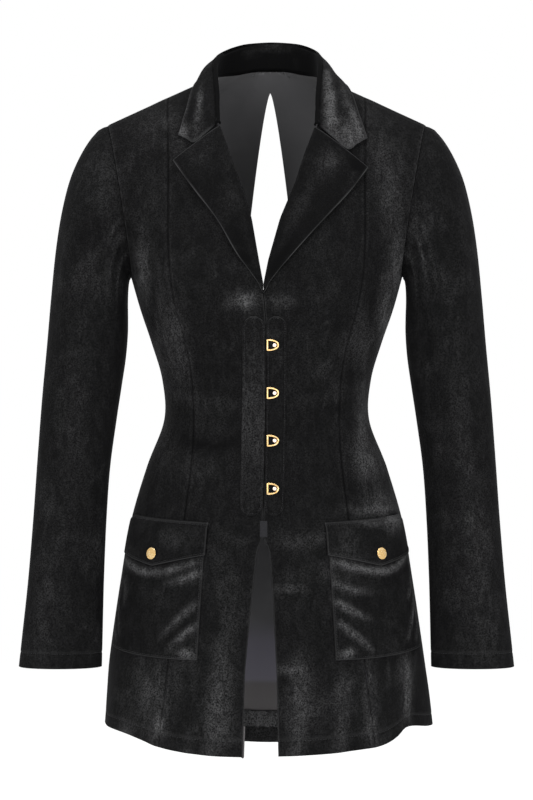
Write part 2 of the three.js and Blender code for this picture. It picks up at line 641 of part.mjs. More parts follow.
// Middle of the collar's wall at a station: the stand, the fold and the leaf
function collarSection(side, t) {
  const rows = collarStations[sideNames[side]];
  const at = t * (rows.length - 1);
  const stations = rows.map((row) => {
    if (row.edgeY !== undefined) return { ...row, edgeX: side * row.edgeX, foldX: side * row.foldX };
    const edge = onFrontAt(side, row.edgeX, row.edgeZ, layGap + collar.edgeLift + collarWall / 2);
    return { ...row, foldX: side * row.foldX, edgeX: edge.x, edgeY: edge.y, edgeZ: edge.z };
  });
  const vector = (name) => new THREE.Vector3(...['X', 'Y', 'Z'].map((axis) => spline(stations, name + axis, at)));
  const fold = vector('fold');
  const edge = vector('edge');
  const seam = neckSeam(side, t);
  const stand = mix(up, seam.normal, smooth((t - 0.4) / 0.5)).normalize();
  const out = edge.clone().sub(fold).setZ(0);
  out.addScaledVector(stand, -out.dot(stand)).normalize();
  const offPanel = out.clone().negate();
  offPanel.addScaledVector(seam.normal, -offPanel.dot(seam.normal)).normalize();
  const base = seam.point.clone().addScaledVector(offPanel, seamGap + collarWall / 2 + 0.45)
    .addScaledVector(seam.normal, -clothWall / 2);
  const centre = fold.clone().addScaledVector(out, collar.foldRadius).addScaledVector(stand, -collar.foldDrop);
  const arc = [180, 120, 60, 0].map((turn) => centre.clone()
    .addScaledVector(out, collar.foldRadius * Math.cos(turn * degrees))
    .addScaledVector(stand, collar.foldRadius * Math.sin(turn * degrees)));
  const leafStart = arc[3];
  const along = edge.clone().sub(leafStart).normalize();
  const lift = out.clone().add(stand);
  lift.addScaledVector(along, -lift.dot(along)).normalize();
  const leaf = [0.25, 0.5, 0.75, 1].map((s) => mix(leafStart, edge, s)
    .addScaledVector(lift, collar.bulge * 4 * s * (1 - s)));
  if (t === 1) {
    const corner = notch[sideNames[side]];
    const meeting = onFrontAt(side, corner.x, corner.z, layGap + collar.edgeLift + collarWall / 2);
    leaf[0] = mix(leafStart, meeting, 0.45).addScaledVector(lift, collar.bulge / 2);
    leaf[1] = meeting;
    leaf[2] = mix(meeting, edge, 0.5);
  }
  return [base, mix(base, arc[0], 0.5), ...arc, ...leaf];
}

// The two faces of a sheet given by its middle
function bothFaces(grid, thickness) {
  const at = (j, i) => grid[Math.min(grid.length - 1, Math.max(0, j))][Math.min(grid[0].length - 1, Math.max(0, i))];
  const faces = { outer: [], inner: [] };
  grid.forEach((row, j) => {
    const normals = row.map((_, i) => at(j, i + 1).clone().sub(at(j, i - 1))
      .cross(at(j + 1, i).clone().sub(at(j - 1, i))).normalize());
    faces.outer.push(row.map((point, i) => point.clone().addScaledVector(normals[i], thickness / 2)));
    faces.inner.push(row.map((point, i) => point.clone().addScaledVector(normals[i], -thickness / 2)));
  });
  return faces;
}

function addCollar() {
  const half = (side) => range(collar.steps / 2).map((t) => collarSection(side, t));
  const middle = [...half(-1).reverse(), ...half(1).slice(1)];
  addWall('collar', bothFaces(middle, collarWall));
}

// A lapel: it hooks round the front's edge at the roll line and lies on the front up to its own edge
function addLapel(side) {
  const rows = lapels[sideNames[side]];
  const outer = [];
  const inner = [];
  for (const at of range(lapelSteps, 0, rows.length - 1)) {
    const rollZ = spline(rows, 'rollZ', at);
    const roll = { x: side * edgeAt(frontEdge[sideNames[side]], rollZ), z: rollZ };
    const edge = { x: spline(rows, 'edgeX', at), z: spline(rows, 'edgeZ', at) };
    const width = Math.hypot(edge.x - roll.x, edge.z - roll.z);
    const place = (across, out) => onFrontAt(
      side, lerp(roll.x, edge.x, across / width), lerp(roll.z, edge.z, across / width), out);
    const near = -seamGap - 0.1;
    const far = near - lapelWall;
    const lie = (u) => layGap + lapelLift * u ** 1.5 * Math.min(1, width / 30);
    outer.push([place(far, -clothWall), place(far, 0.5), place(far + 0.6, layGap + lapelWall - 0.4),
      ...lapelColumns.map((u) => place(u * width, lie(u) + lapelWall))]);
    inner.push([place(near, -clothWall), place(near, 0), place(near + 0.1, layGap - 0.1),
      ...lapelColumns.map((u) => place(u * width, lie(u)))]);
  }
  addWall(`lapel_${sideNames[side]}`, { outer, inner });
}

// Patch pocket, slack in its middle, and the flap over it
const pocketPuff = (u, v) => pocket.puff * (16 * u * (1 - u) * v * (1 - v)) ** 0.6;
const pocketTop = (share) => pocket.topZ + flap.outerRise * ((share - pocket.inner) / (pocket.outer - pocket.inner));
const pocketBottom = (share) => pocket.bottomZ
  + pocket.outerRise * ((share - pocket.inner) / (pocket.outer - pocket.inner)) ** 2;

function pocketHeight(share, z) {
  const u = (share - pocket.inner) / (pocket.outer - pocket.inner);
  const v = (z - pocketBottom(share)) / (pocketTop(share) - pocketBottom(share));
  if (u <= 0 || u >= 1 || v <= 0 || v >= 1) return 0;
  return pocketPuff(u, v);
}

function addPocket(side) {
  const outer = [];
  const inner = [];
  for (const v of range(9)) {
    const row = range(9, pocket.inner, pocket.outer).map((share) => {
      const z = lerp(pocketBottom(share), pocketTop(share), v);
      return { share, z, out: layGap + pocketHeight(share, z) };
    });
    outer.push(row.map((p) => onFront(side, p.share, p.z, p.out + bandWall)));
    inner.push(row.map((p) => onFront(side, p.share, p.z, p.out)));
  }
  addWall(`pocket_${sideNames[side]}`, { outer, inner });
}

const flapTop = (share) => flap.topZ + flap.outerRise * ((share - flap.inner) / (flap.outer - flap.inner));
function flapBottom(share) {
  const end = share < flap.point ? flap.inner : flap.outer;
  return lerp(flap.pointZ, flap.bottomZ, Math.abs(share - flap.point) / Math.abs(end - flap.point));
}
function flapOut(share, z) {
  const onPocket = pocketHeight(share, z) + bandWall + layGap;
  return layGap + onPocket * smooth((flapTop(share) - z) / flapStep);
}

function addFlap(side) {
  const outer = [];
  const inner = [];
  const shares = [...range(4, flap.inner, flap.point), ...range(5, flap.point, flap.outer).slice(1)];
  for (const v of [0, 0.3, 0.6, 0.84, 1]) {
    const row = shares.map((share) => {
      const z = lerp(flapBottom(share), flapTop(share), v);
      return { share, z, out: flapOut(share, z) };
    });
    outer.push(row.map((p) => onFront(side, p.share, p.z, p.out + bandWall)));
    inner.push(row.map((p) => onFront(side, p.share, p.z, p.out)));
  }
  addWall(`pocket_flap_${sideNames[side]}`, { outer, inner });
}

// Puts a piece made about the z axis on the front, facing out
function seat(mesh, side, share, z, out) {
  const point = onFront(side, share, z, out);
  const normal = onFront(side, share, z, out + 1).sub(point).normalize();
  const right = new THREE.Vector3().crossVectors(up, normal).normalize();
  const top = new THREE.Vector3().crossVectors(normal, right);
  mesh.position.copy(point);
  mesh.quaternion.setFromRotationMatrix(new THREE.Matrix4().makeBasis(right, top, normal));
}

function domeGeometry(profile, sides) {
  const geometry = new THREE.LatheGeometry(profile.map(([r, z]) => new THREE.Vector2(r, z)), sides);
  return geometry.rotateX(Math.PI / 2);
}

function addSnap(side) {
  const { radius: r, height: h } = snap;
  const profile = [[0, 0], [r - 0.6, 0], [r, 0.5], [r, 1], [r * 0.86, h * 0.8], [r * 0.5, h], [0, h]];
  const mesh = addPiece(`snap_${sideNames[side]}`, domeGeometry(profile, 20), colours.brass);
  seat(mesh, side, snap.at, snap.z, flapOut(snap.at, snap.z) + bandWall + seamGap + 0.25);
}

// Busk channels beside the front edge, with round ends
function addChannel(side) {
  const width = channel[sideNames[side]];
  const outer = [];
  const inner = [];
  const length = channel.topZ - channel.bottomZ;
  const ends = [0, 0.08, 0.28, 0.6, 1].map((t) => (t * width) / 2);
  const heights = [...ends.slice(0, -1), ...range(channel.steps - 8, width / 2, length - width / 2),
    ...ends.slice(0, -1).reverse().map((e) => length - e)];
  for (const height of heights) {
    const z = channel.bottomZ + height;
    const fromEnd = Math.min(height, length - height, width / 2);
    const half = Math.max(0.35, Math.sqrt(1 - (1 - fromEnd / (width / 2)) ** 2)) * (width / 2);
    const edge = side * edgeAt(frontEdge[sideNames[side]], z) + seamGap;
    const row = range(4, -half, half).map((x) => edge + width / 2 + x);
    outer.push(row.map((x) => onFrontAt(side, x, z, layGap + bandWall)));
    inner.push(row.map((x) => onFrontAt(side, x, z, layGap)));
  }
  addWall(`busk_channel_${sideNames[side]}`, { outer, inner });
}

// Share of the right front at a distance from the centre
function rightShare(x, z) {
  const row = rowAt('front', frontRowAtHeight(1, 0, z));
  return shareAt(row, x);
}

function loopGeometry() {
  const r = loop.height / 2;
  const outline = new THREE.Shape();
  outline.moveTo(0, -r).lineTo(loop.width - r, -r);
  outline.absarc(loop.width - r, 0, r, -Math.PI / 2, Math.PI / 2, false);
  outline.lineTo(0, r).closePath();
  const hole = new THREE.Path();
  const inner = r - loop.rim;
  hole.moveTo(loop.rim, -inner).lineTo(loop.width - r, -inner);
  hole.absarc(loop.width - r, 0, inner, -Math.PI / 2, Math.PI / 2, false);
  hole.lineTo(loop.rim, inner).closePath();
  outline.holes.push(hole);
  const options = { depth: loop.thickness, bevelEnabled: false, curveSegments: 9 };
  return new THREE.ExtrudeGeometry(outline, options).translate(-loop.width / 2, 0, 0);
}

function addBusk() {
  const base = layGap + bandWall + seamGap + 0.15;
  loopZ.forEach((z, i) => {
    const ring = addPiece(`busk_loop_${i + 1}`, loopGeometry(), colours.brass);
    seat(ring, 1, rightShare(loop.startX + loop.width / 2, z), z, base);
    const { radius: r, height: h } = stud;
    const profile = [[0, 0], [r * 0.7, 0], [r * 0.7, h * 0.55], [r, h * 0.65], [r * 0.8, h * 0.95], [0, h]];
    const pin = addPiece(`busk_stud_${i + 1}`, domeGeometry(profile, 12), colours.stud);
    seat(pin, 1, rightShare(loop.startX + stud.fromFlat, z), z, base);
  });
}

function addTack() {
  const outer = [];
  const inner = [];
  for (const z of range(2, tack.bottomZ, tack.topZ)) {
    const row = range(2, tack.leftX, tack.rightX);
    outer.push(row.map((x) => onFrontAt(1, x, z, layGap + tack.thickness)));
    inner.push(row.map((x) => onFrontAt(1, x, z, layGap)));
  }
  addWall('bar_tack', { outer, inner });
}

for (const side of [-1, 1]) {
  addFronts(side);
  addSleeve(side);
  addLapel(side);
  addPocket(side);
  addFlap(side);
  addSnap(side);
  addChannel(side);
}
addBack();
addCollar();
addBusk();
addTack();

export default group;
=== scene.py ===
import math
import bmesh
import bpy
import numpy as np
from mathutils import Matrix, Vector


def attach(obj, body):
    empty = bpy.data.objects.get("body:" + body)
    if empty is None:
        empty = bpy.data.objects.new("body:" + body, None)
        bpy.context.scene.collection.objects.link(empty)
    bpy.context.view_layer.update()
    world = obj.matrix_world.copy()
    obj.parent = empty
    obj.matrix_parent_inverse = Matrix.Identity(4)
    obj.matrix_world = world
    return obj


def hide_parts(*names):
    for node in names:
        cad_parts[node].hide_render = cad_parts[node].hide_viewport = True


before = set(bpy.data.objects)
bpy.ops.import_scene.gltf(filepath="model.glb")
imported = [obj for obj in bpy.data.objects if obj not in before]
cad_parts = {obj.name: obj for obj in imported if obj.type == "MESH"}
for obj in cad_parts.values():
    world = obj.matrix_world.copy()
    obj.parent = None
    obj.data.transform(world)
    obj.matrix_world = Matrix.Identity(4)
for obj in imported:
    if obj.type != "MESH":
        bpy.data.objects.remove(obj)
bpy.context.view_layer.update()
scene = bpy.context.scene
# The garment is drawn in millimetres, as in the part, and turned into metres when a mesh is made
mm = 0.001

# Camera, floor and light

cameraPlan = {"at": (0, -3.2, -0.363), "lens": 124.1, "sensor": 36}
cameraData = bpy.data.cameras.new("camera")
cameraData.lens = cameraPlan["lens"]
cameraData.sensor_width = cameraPlan["sensor"]
camera = bpy.data.objects.new("camera", cameraData)
scene.collection.objects.link(camera)
camera.location = cameraPlan["at"]
camera.rotation_euler = (math.radians(90), 0, 0)
scene.camera = camera

studio = {
    "world": 1.0,
    "floorZ": -1.05,
    "floorSize": 8,
    "lights": [
        # name, place, aimed at, size, watts
        ("keyLight", (-1.5, -2.4, 1.1), (0, 0, -0.35), 1.4, 60),
        ("fillLight", (1.9, -2.2, 0.3), (0, 0, -0.4), 1.6, 34),
        ("topLight", (0.2, -0.4, 1.9), (0, 0, -0.3), 1.2, 24),
        ("hemLight", (0.3, -2.0, -1.0), (0, 0, -0.7), 0.9, 7),
    ],
}


def addStudio(plan):
    world = bpy.data.worlds.new("softRoom")
    world.use_nodes = True
    world.node_tree.nodes["Background"].inputs["Color"].default_value = (1, 1, 1, 1)
    world.node_tree.nodes["Background"].inputs["Strength"].default_value = plan["world"]
    scene.world = world
    for name, place, aim, size, watts in plan["lights"]:
        data = bpy.data.lights.new(name, "AREA")
        data.shape = "DISK"
        data.size = size
        data.energy = watts
        light = bpy.data.objects.new(name, data)
        light.location = place
        light.rotation_euler = (Vector(aim) - Vector(place)).to_track_quat("-Z", "Y").to_euler()
        scene.collection.objects.link(light)
    half = plan["floorSize"] / 2
    floorMesh = bpy.data.meshes.new("floor")
    corners = [(-half, -half), (half, -half), (half, half), (-half, half)]
    floorMesh.from_pydata([(x, y, plan["floorZ"]) for x, y in corners], [], [(0, 1, 2, 3)])
    paint = bpy.data.materials.new("paleFloor")
    paint.use_nodes = True
    shader = paint.node_tree.nodes["Principled BSDF"]
    shader.inputs["Base Color"].default_value = (0.93, 0.93, 0.93, 1)
    shader.inputs["Roughness"].default_value = 0.9
    floorMesh.materials.append(paint)
    floor = bpy.data.objects.new("floor", floorMesh)
    scene.collection.objects.link(floor)


addStudio(studio)
scene.view_settings.view_transform = "Standard"
print("studio and camera set")

# Materials


def newGroup(name, inputs, outputs):
    # A shared shader effect with named sockets
    tree = bpy.data.node_groups.new(name, "ShaderNodeTree")
    for label, kind, value in inputs:
        socket = tree.interface.new_socket(label, in_out="INPUT", socket_type=kind)
        if value is not None:
            socket.default_value = value
    for label, kind in outputs:
        tree.interface.new_socket(label, in_out="OUTPUT", socket_type=kind)
    return tree, tree.nodes.new("NodeGroupInput"), tree.nodes.new("NodeGroupOutput")


def addNode(tree, kind, **settings):
    node = tree.nodes.new(kind)
    for key, value in settings.items():
        if key in node.inputs:
            node.inputs[key].default_value = value
        else:
            setattr(node, key, value)
    return node


def mathNode(tree, operation, a, b=None, clamp=False):
    node = tree.nodes.new("ShaderNodeMath")
    node.operation = operation
    node.use_clamp = clamp
    for socket, value in zip(node.inputs, (a, b)):
        if isinstance(value, (int, float)):
            socket.default_value = value
        elif value is not None:
            tree.links.new(value, socket)
    return node.outputs[0]


def noiseNode(tree, vector, scale, detail=2, distortion=0, rough=0.5):
    node = tree.nodes.new("ShaderNodeTexNoise")
    tree.links.new(vector, node.inputs["Vector"])
    node.inputs["Scale"].default_value = scale
    node.inputs["Detail"].default_value = detail
    node.inputs["Distortion"].default_value = distortion
    node.inputs["Roughness"].default_value = rough
    return node.outputs["Fac"]


def rangeNode(tree, value, low, high, toLow=0, toHigh=1):
    node = tree.nodes.new("ShaderNodeMapRange")
    node.interpolation_type = "SMOOTHSTEP"
    tree.links.new(value, node.inputs["Value"])
    for name, number in (("From Min", low), ("From Max", high), ("To Min", toLow), ("To Max", toHigh)):
        node.inputs[name].default_value = number
    return node.outputs["Result"]


def mixColour(tree, factor, a, b):
    node = tree.nodes.new("ShaderNodeMix")
    node.data_type = "RGBA"
    tree.links.new(factor, node.inputs["Factor"])
    for socket, value in ((node.inputs[6], a), (node.inputs[7], b)):
        if isinstance(value, tuple):
            socket.default_value = (*value, 1)
        else:
            tree.links.new(value, socket)
    return node.outputs[2]


def buildPileAndSheenGroup():
    # Velvet pile: soft patches at random, painted sheen and painted shade where the pile is brushed, both mixed
    # into the base colour, a fine tuft grain, and a height for the bump
    tree, sockets, result = newGroup("velvetPileAndSheen", [
        ("Vector", "NodeSocketVector", None),
        ("Brushed Sheen", "NodeSocketFloat", 0.0),
        ("Dark", "NodeSocketColor", (0.004, 0.004, 0.0045, 1)),
        ("Light", "NodeSocketColor", (0.06, 0.06, 0.062, 1)),
        ("Patch Scale", "NodeSocketFloat", 16.0),
        ("Tuft Scale", "NodeSocketFloat", 600.0),
    ], [("Color", "NodeSocketColor"), ("Roughness", "NodeSocketFloat"), ("Height", "NodeSocketFloat")])
    vector = sockets.outputs["Vector"]
    patches = noiseNode(tree, vector, 16, 5, 0.6, 0.62)
    tree.links.new(sockets.outputs["Patch Scale"], patches.node.inputs["Scale"])
    tufts = noiseNode(tree, vector, 600, 2, 0, 0.7)
    tree.links.new(sockets.outputs["Tuft Scale"], tufts.node.inputs["Scale"])
    stretched = addNode(tree, "ShaderNodeVectorMath", operation="MULTIPLY")
    stretched.inputs[1].default_value = (1, 1, 0.45)
    tree.links.new(vector, stretched.inputs[0])
    drift = noiseNode(tree, stretched.outputs["Vector"], 110, 4, 0.8, 0.66)
    patch = rangeNode(tree, patches, 0.46, 0.78)
    mottle = rangeNode(tree, drift, 0.3, 0.72, 0.5, 1.4)
    grain = rangeNode(tree, tufts, 0.3, 0.72, 0.1, 2)
    # the random patches plus the painted sheen and shade where the pile is brushed; this lightens the base colour
    napAndSheen = mathNode(tree, "MULTIPLY_ADD", patch, 0.1)
    tree.links.new(sockets.outputs["Brushed Sheen"], napAndSheen.node.inputs[2])
    standingAndSheen = mathNode(tree, "ADD", napAndSheen, 0.05, clamp=True)
    lit = mathNode(tree, "MULTIPLY", mathNode(tree, "MULTIPLY", standingAndSheen, mottle), grain, clamp=True)
    colour = mixColour(tree, lit, sockets.outputs["Dark"], sockets.outputs["Light"])
    tree.links.new(colour, result.inputs["Color"])
    tree.links.new(rangeNode(tree, napAndSheen, 0, 1, 0.86, 0.62), result.inputs["Roughness"])
    height = mathNode(tree, "ADD", mathNode(tree, "MULTIPLY", tufts, 0.5), drift)
    tree.links.new(height, result.inputs["Height"])
    return tree


def buildScuffGroup():
    # Handling marks on metal: faint smears and small specks
    tree, sockets, result = newGroup("handling", [
        ("Vector", "NodeSocketVector", None),
        ("Color", "NodeSocketColor", (0.8, 0.6, 0.3, 1)),
        ("Worn", "NodeSocketColor", (0.9, 0.8, 0.6, 1)),
        ("Roughness", "NodeSocketFloat", 0.25),
        ("Scale", "NodeSocketFloat", 400.0),
    ], [("Color", "NodeSocketColor"), ("Roughness", "NodeSocketFloat"), ("Height", "NodeSocketFloat")])
    vector = sockets.outputs["Vector"]
    smear = noiseNode(tree, vector, 400, 3, 1.2, 0.6)
    tree.links.new(sockets.outputs["Scale"], smear.node.inputs["Scale"])
    worn = rangeNode(tree, smear, 0.45, 0.7)
    colour = mixColour(tree, worn, sockets.outputs["Color"], sockets.outputs["Worn"])
    tree.links.new(colour, result.inputs["Color"])
    rough = mathNode(tree, "MULTIPLY_ADD", worn, 0.12)
    tree.links.new(sockets.outputs["Roughness"], rough.node.inputs[2])
    tree.links.new(rough, result.inputs["Roughness"])
    tree.links.new(smear, result.inputs["Height"])
    return tree


pileAndSheenGroup = buildPileAndSheenGroup()
scuffGroup = buildScuffGroup()


def newMaterial(name):
    material = bpy.data.materials.new(name)
    material.use_nodes = True
    tree = material.node_tree
    return material, tree, tree.nodes["Principled BSDF"], tree.nodes.new("ShaderNodeTexCoord").outputs["Object"]


def addBump(tree, shader, height, strength, distance):
    bump = tree.nodes.new("ShaderNodeBump")
    bump.inputs["Strength"].default_value = strength
    bump.inputs["Distance"].default_value = distance
    tree.links.new(height, bump.inputs["Height"])
    tree.links.new(bump.outputs["Normal"], shader.inputs["Normal"])


velvetLook = {
    "dark": (0.0014, 0.0014, 0.0015),
    "light": (0.05, 0.05, 0.051),
    # colour of the pressed edges: crushed pile and painted highlight
    "edge": (0.05, 0.05, 0.051),
    "sheen": 0.012,
    "sheenRoughness": 0.4,
}


def makeVelvet(name, look, patchScale=15):
    material, tree, shader, place = newMaterial(name)
    pileAndSheen = tree.nodes.new("ShaderNodeGroup")
    pileAndSheen.node_tree = pileAndSheenGroup
    pileAndSheen.inputs["Dark"].default_value = (*look["dark"], 1)
    pileAndSheen.inputs["Light"].default_value = (*look["light"], 1)
    pileAndSheen.inputs["Patch Scale"].default_value = patchScale
    tree.links.new(place, pileAndSheen.inputs["Vector"])
    # painted sheen and shade where the pile is brushed, read from the mesh
    brushedSheen = addNode(tree, "ShaderNodeAttribute", attribute_name="brushedSheen")
    tree.links.new(brushedSheen.outputs["Fac"], pileAndSheen.inputs["Brushed Sheen"])
    # pressed edges: crushed pile and painted highlight where edges and seams catch the light
    edge = addNode(tree, "ShaderNodeAttribute", attribute_name="pressedEdgeHighlight")
    colour = mixColour(tree, edge.outputs["Fac"], pileAndSheen.outputs["Color"], look["edge"])
    tree.links.new(colour, shader.inputs["Base Color"])
    tree.links.new(pileAndSheen.outputs["Roughness"], shader.inputs["Roughness"])
    shader.inputs["Specular IOR Level"].default_value = 0.04
    shader.inputs["Sheen Weight"].default_value = look["sheen"]
    shader.inputs["Sheen Roughness"].default_value = look["sheenRoughness"]
    shader.inputs["Sheen Tint"].default_value = (0.93, 0.94, 1, 1)
    addBump(tree, shader, pileAndSheen.outputs["Height"], 0.5, 0.0006)
    return material


def makeKnit(name):
    # The smooth knitted back of the cloth: fine ribs along the piece and a slight unevenness
    material, tree, shader, place = newMaterial(name)
    ribs = tree.nodes.new("ShaderNodeTexWave")
    ribs.inputs["Scale"].default_value = 260
    ribs.inputs["Distortion"].default_value = 0.6
    ribs.inputs["Detail"].default_value = 1
    tree.links.new(place, ribs.inputs["Vector"])
    cloud = noiseNode(tree, place, 22, 3, 0.3)
    colour = mixColour(tree, rangeNode(tree, cloud, 0.3, 0.75), (0.046, 0.046, 0.048), (0.058, 0.057, 0.06))
    groove = rangeNode(tree, ribs.outputs["Fac"], 0.2, 0.9, 0, 0.35)
    ribbed = mixColour(tree, groove, colour, (0.036, 0.036, 0.038))
    parts = addNode(tree, "ShaderNodeSeparateXYZ")
    tree.links.new(place, parts.inputs[0])
    # painted light: the inside is paler in a band above the back's hem, and less pale again nearest the hem
    for start, end, tone in ((-0.62, -0.66, (0.066, 0.063, 0.078)), (-0.698, -0.706, (0.048, 0.045, 0.046))):
        ribbed = mixColour(tree, rangeNode(tree, parts.outputs["Z"], start, end), ribbed, tone)
    tree.links.new(ribbed, shader.inputs["Base Color"])
    shader.inputs["Roughness"].default_value = 0.78
    shader.inputs["Specular IOR Level"].default_value = 0.25
    shader.inputs["Sheen Weight"].default_value = 0.1
    addBump(tree, shader, ribs.outputs["Fac"], 0.25, 0.0002)
    return material


def makeMetal(name, colour, worn, roughness, metallic=1.0):
    material, tree, shader, place = newMaterial(name)
    marks = tree.nodes.new("ShaderNodeGroup")
    marks.node_tree = scuffGroup
    marks.inputs["Color"].default_value = (*colour, 1)
    marks.inputs["Worn"].default_value = (*worn, 1)
    marks.inputs["Roughness"].default_value = roughness
    tree.links.new(place, marks.inputs["Vector"])
    tree.links.new(marks.outputs["Color"], shader.inputs["Base Color"])
    tree.links.new(marks.outputs["Roughness"], shader.inputs["Roughness"])
    shader.inputs["Metallic"].default_value = metallic
    addBump(tree, shader, marks.outputs["Height"], 0.12, 0.0001)
    return material


def makeThread(name, colour, shine):
    # Twisted sewing thread: fine slanting plies
    material, tree, shader, place = newMaterial(name)
    ply = tree.nodes.new("ShaderNodeTexWave")
    ply.inputs["Scale"].default_value = 900
    ply.bands_direction = "DIAGONAL"
    tree.links.new(place, ply.inputs["Vector"])
    light = tuple(c * 1.9 for c in colour)
    tree.links.new(mixColour(tree, ply.outputs["Fac"], colour, light), shader.inputs["Base Color"])
    shader.inputs["Roughness"].default_value = 0.7
    shader.inputs["Specular IOR Level"].default_value = 0.12
    shader.inputs["Sheen Weight"].default_value = shine
    addBump(tree, shader, ply.outputs["Fac"], 0.4, 0.0002)
    return material


velvet = makeVelvet("blackVelvet", velvetLook)
knit = makeKnit("knitBack")
brass = makeMetal("paleBrass", (0.72, 0.47, 0.19), (0.86, 0.68, 0.4), 0.2)
studMetal = makeMetal("studMetal", (0.78, 0.62, 0.5), (0.9, 0.84, 0.8), 0.28, 0.7)
thread = makeThread("blackThread", (0.012, 0.012, 0.013), 0.12)
tackThread = makeThread("tackThread", (0.006, 0.006, 0.007), 0.04)
print("materials made")

# The body of the jacket, as in the part

seams = {"wall": 1.5, "gap": 0.3, "layGap": 0.45, "cadWall": 1.8, "band": 1.3}

# z at the centre and at the side, half width, y of the side, of the centre front and back, princess seam's x
levels = np.array([
    (-760, -736, 190, 4, -132, 132, 118), (-706, -696, 186.5, 4, -128, 127, 114),
    (-640, -636, 179, 4, -121, 120, 108), (-572, -572, 169.5, 4, -113, 112, 101),
    (-505, -505, 158, 4, -103, 101, 94), (-440, -440, 139, 4, -93, 90, 86),
    (-386, -386, 119, 3, -88, 84, 83), (-340, -340, 121, 2, -91, 87, 85),
    (-298, -298, 133, 1, -99, 95, 92), (-259, -259, 146, 0, -104, 103, 103),
    (-224, -221, 157, 0, -106.5, 109, 109),
])
# angle round the armhole, z and y of the centre front and back, turn of the row, princess seam's x
armholeLevels = np.array([
    (164, -207, -206, -105.5, 112, 81, 81, 110), (145, -186, -184, -102.5, 114, 75, 76, 111),
    (125, -156, -153.5, -96.5, 115, 67, 70, 112), (101, -114, -108.5, -86, 113, 58, 63, 112),
    (79, -70, -61.5, -71, 106, 52, 56, 112), (58, -28, -18.5, -52, 94, 48, 50, 113),
    (47, -8, 9.5, -41.5, 81, 46.5, 47, 113), (36, 10, 34, -29, 66, 45, 45, 114),
    (27, 22.5, 41.5, -20, 52, 44.5, 44.5, 114), (18, 32, 44.5, -12, 36, 44, 44, 114),
    (9, 37.5, 43.5, -5.5, 18.5, 44, 44, 114), (0, 40, 40, 1, 1, 44, 44, 114),
])
hemZ = levels[0, 0]
armhole = {"midX": 171, "midZ": -132.5, "riseX": 14, "riseZ": 88.5, "bowX": 4.3, "topY": 4,
           "front": 47, "back": 50}
underarmRow = len(levels) - 1
topRow = underarmRow + len(armholeLevels)
neckRow = topRow - 4
backNeck = {"halfWidth": 62.5, "depth": 66}
bust = {"x": 84, "z": -238, "height": 12, "spreadX": 50, "spreadZ": 72}
levelBack = 30  # above the underarm the back stays level up to this x
keyhole = {"topRow": topRow - 5, "bottom": -345, "widest": -190, "halfWidth": 29, "taper": 0.72}
sway = {"reach": 4.5, "startY": -10, "depth": 75}  # the back hangs a little towards +X
frontEdge = {  # z and x
    -1: np.array([(-770, -27), (-667, -24), (-609, -18.7), (-533, -10.5), (-517, -4.6), (-492, -4), (-440, -2.4),
                  (-345, -0.8), (-275, -0.8), (-243, -3.8), (-206, -10.6), (-158, -18.9), (-132, -26.5), (-81, -44),
                  (-46, -56.5), (-10, -60.5), (20, -62.5)]),
    1: np.array([(-770, 13.5), (-667, 11.2), (-590, 7.3), (-533, 3.2), (-517, -3.6), (-492, -3.7), (-440, -2.1),
                 (-345, -0.5), (-275, -0.5), (-243, -3.4), (-206, 4), (-158, 17.5), (-117, 34.5), (-81, 46),
                 (-48, 58.5), (-10, 61.5), (20, 62.5)]),
}
skirtFolds = [  # side, degrees round from the centre front, width, height, top
    (-1, 36, 8, 4, -600), (-1, 66, 9, 4.5, -640), (-1, 87, 6, -5, -655), (-1, 118, 11, 6, -560),
    (-1, 149, 10, 4, -610), (1, 20, 7, 2.5, -630), (1, 41, 7, 4.5, -590), (1, 60, 6, -6, -650),
    (1, 78, 9, 5, -600), (1, 112, 9, -4.5, -620), (1, 138, 12, 6, -570),
]
hemSteps = [(-1, 88, 5, 8), (1, 61, 5, 8), (-1, 64, 7, 3), (-1, 27, 10, -3.2), (1, 40, 9, -2.6),
            (-1, 180, 28, -16), (1, 180, 28, -16)]
hemStepTop = -660


def smooth(t):
    t = np.clip(t, 0, 1)
    return t * t * (3 - 2 * t)


def bell(distance, width):
    return np.exp(-((distance / width) ** 2))


def hermite(p0, p1, p2, p3, t):
    # Between p1 and p2, with the slopes that their neighbours give
    m1, m2 = (p2 - p0) / 2, (p3 - p1) / 2
    return ((2 * t**3 - 3 * t**2 + 1) * p1 + (t**3 - 2 * t**2 + t) * m1
            + (3 * t**2 - 2 * t**3) * p2 + (t**3 - t**2) * m2)


def halve(low, high, goesOn, steps):
    # The place between low and high up to which goesOn holds
    for _ in range(steps):
        mid = (low + high) / 2
        further = goesOn(mid)
        low, high = np.where(further, mid, low), np.where(further, high, mid)
    return (low + high) / 2


def splineAt(values, at, corner=-1):
    # A table's value at fractional rows, without a kink except at a corner row
    values = np.asarray(values, float)
    at = np.asarray(at, float)
    last = len(values) - 1
    i = np.clip(np.floor(at).astype(int), 0, last - 1)
    t = at - i
    p1, p2 = values[i], values[i + 1]
    p0 = np.where((i > 0) & (i != corner), values[np.maximum(i - 1, 0)], 2 * p1 - p2)
    p3 = np.where((i + 2 <= last) & (i + 1 != corner), values[np.minimum(i + 2, last)], 2 * p2 - p1)
    return hermite(p0, p1, p2, p3, t)


def armholePoint(angle, half):
    c, s = np.cos(np.radians(angle)), np.sin(np.radians(angle))
    depth = -armhole["front"] if half == "front" else armhole["back"]
    return (armhole["midX"] + armhole["riseX"] * c - armhole["bowX"] * s,
            armhole["topY"] / 2 * (1 + c) + depth * s, armhole["midZ"] + armhole["riseZ"] * c)


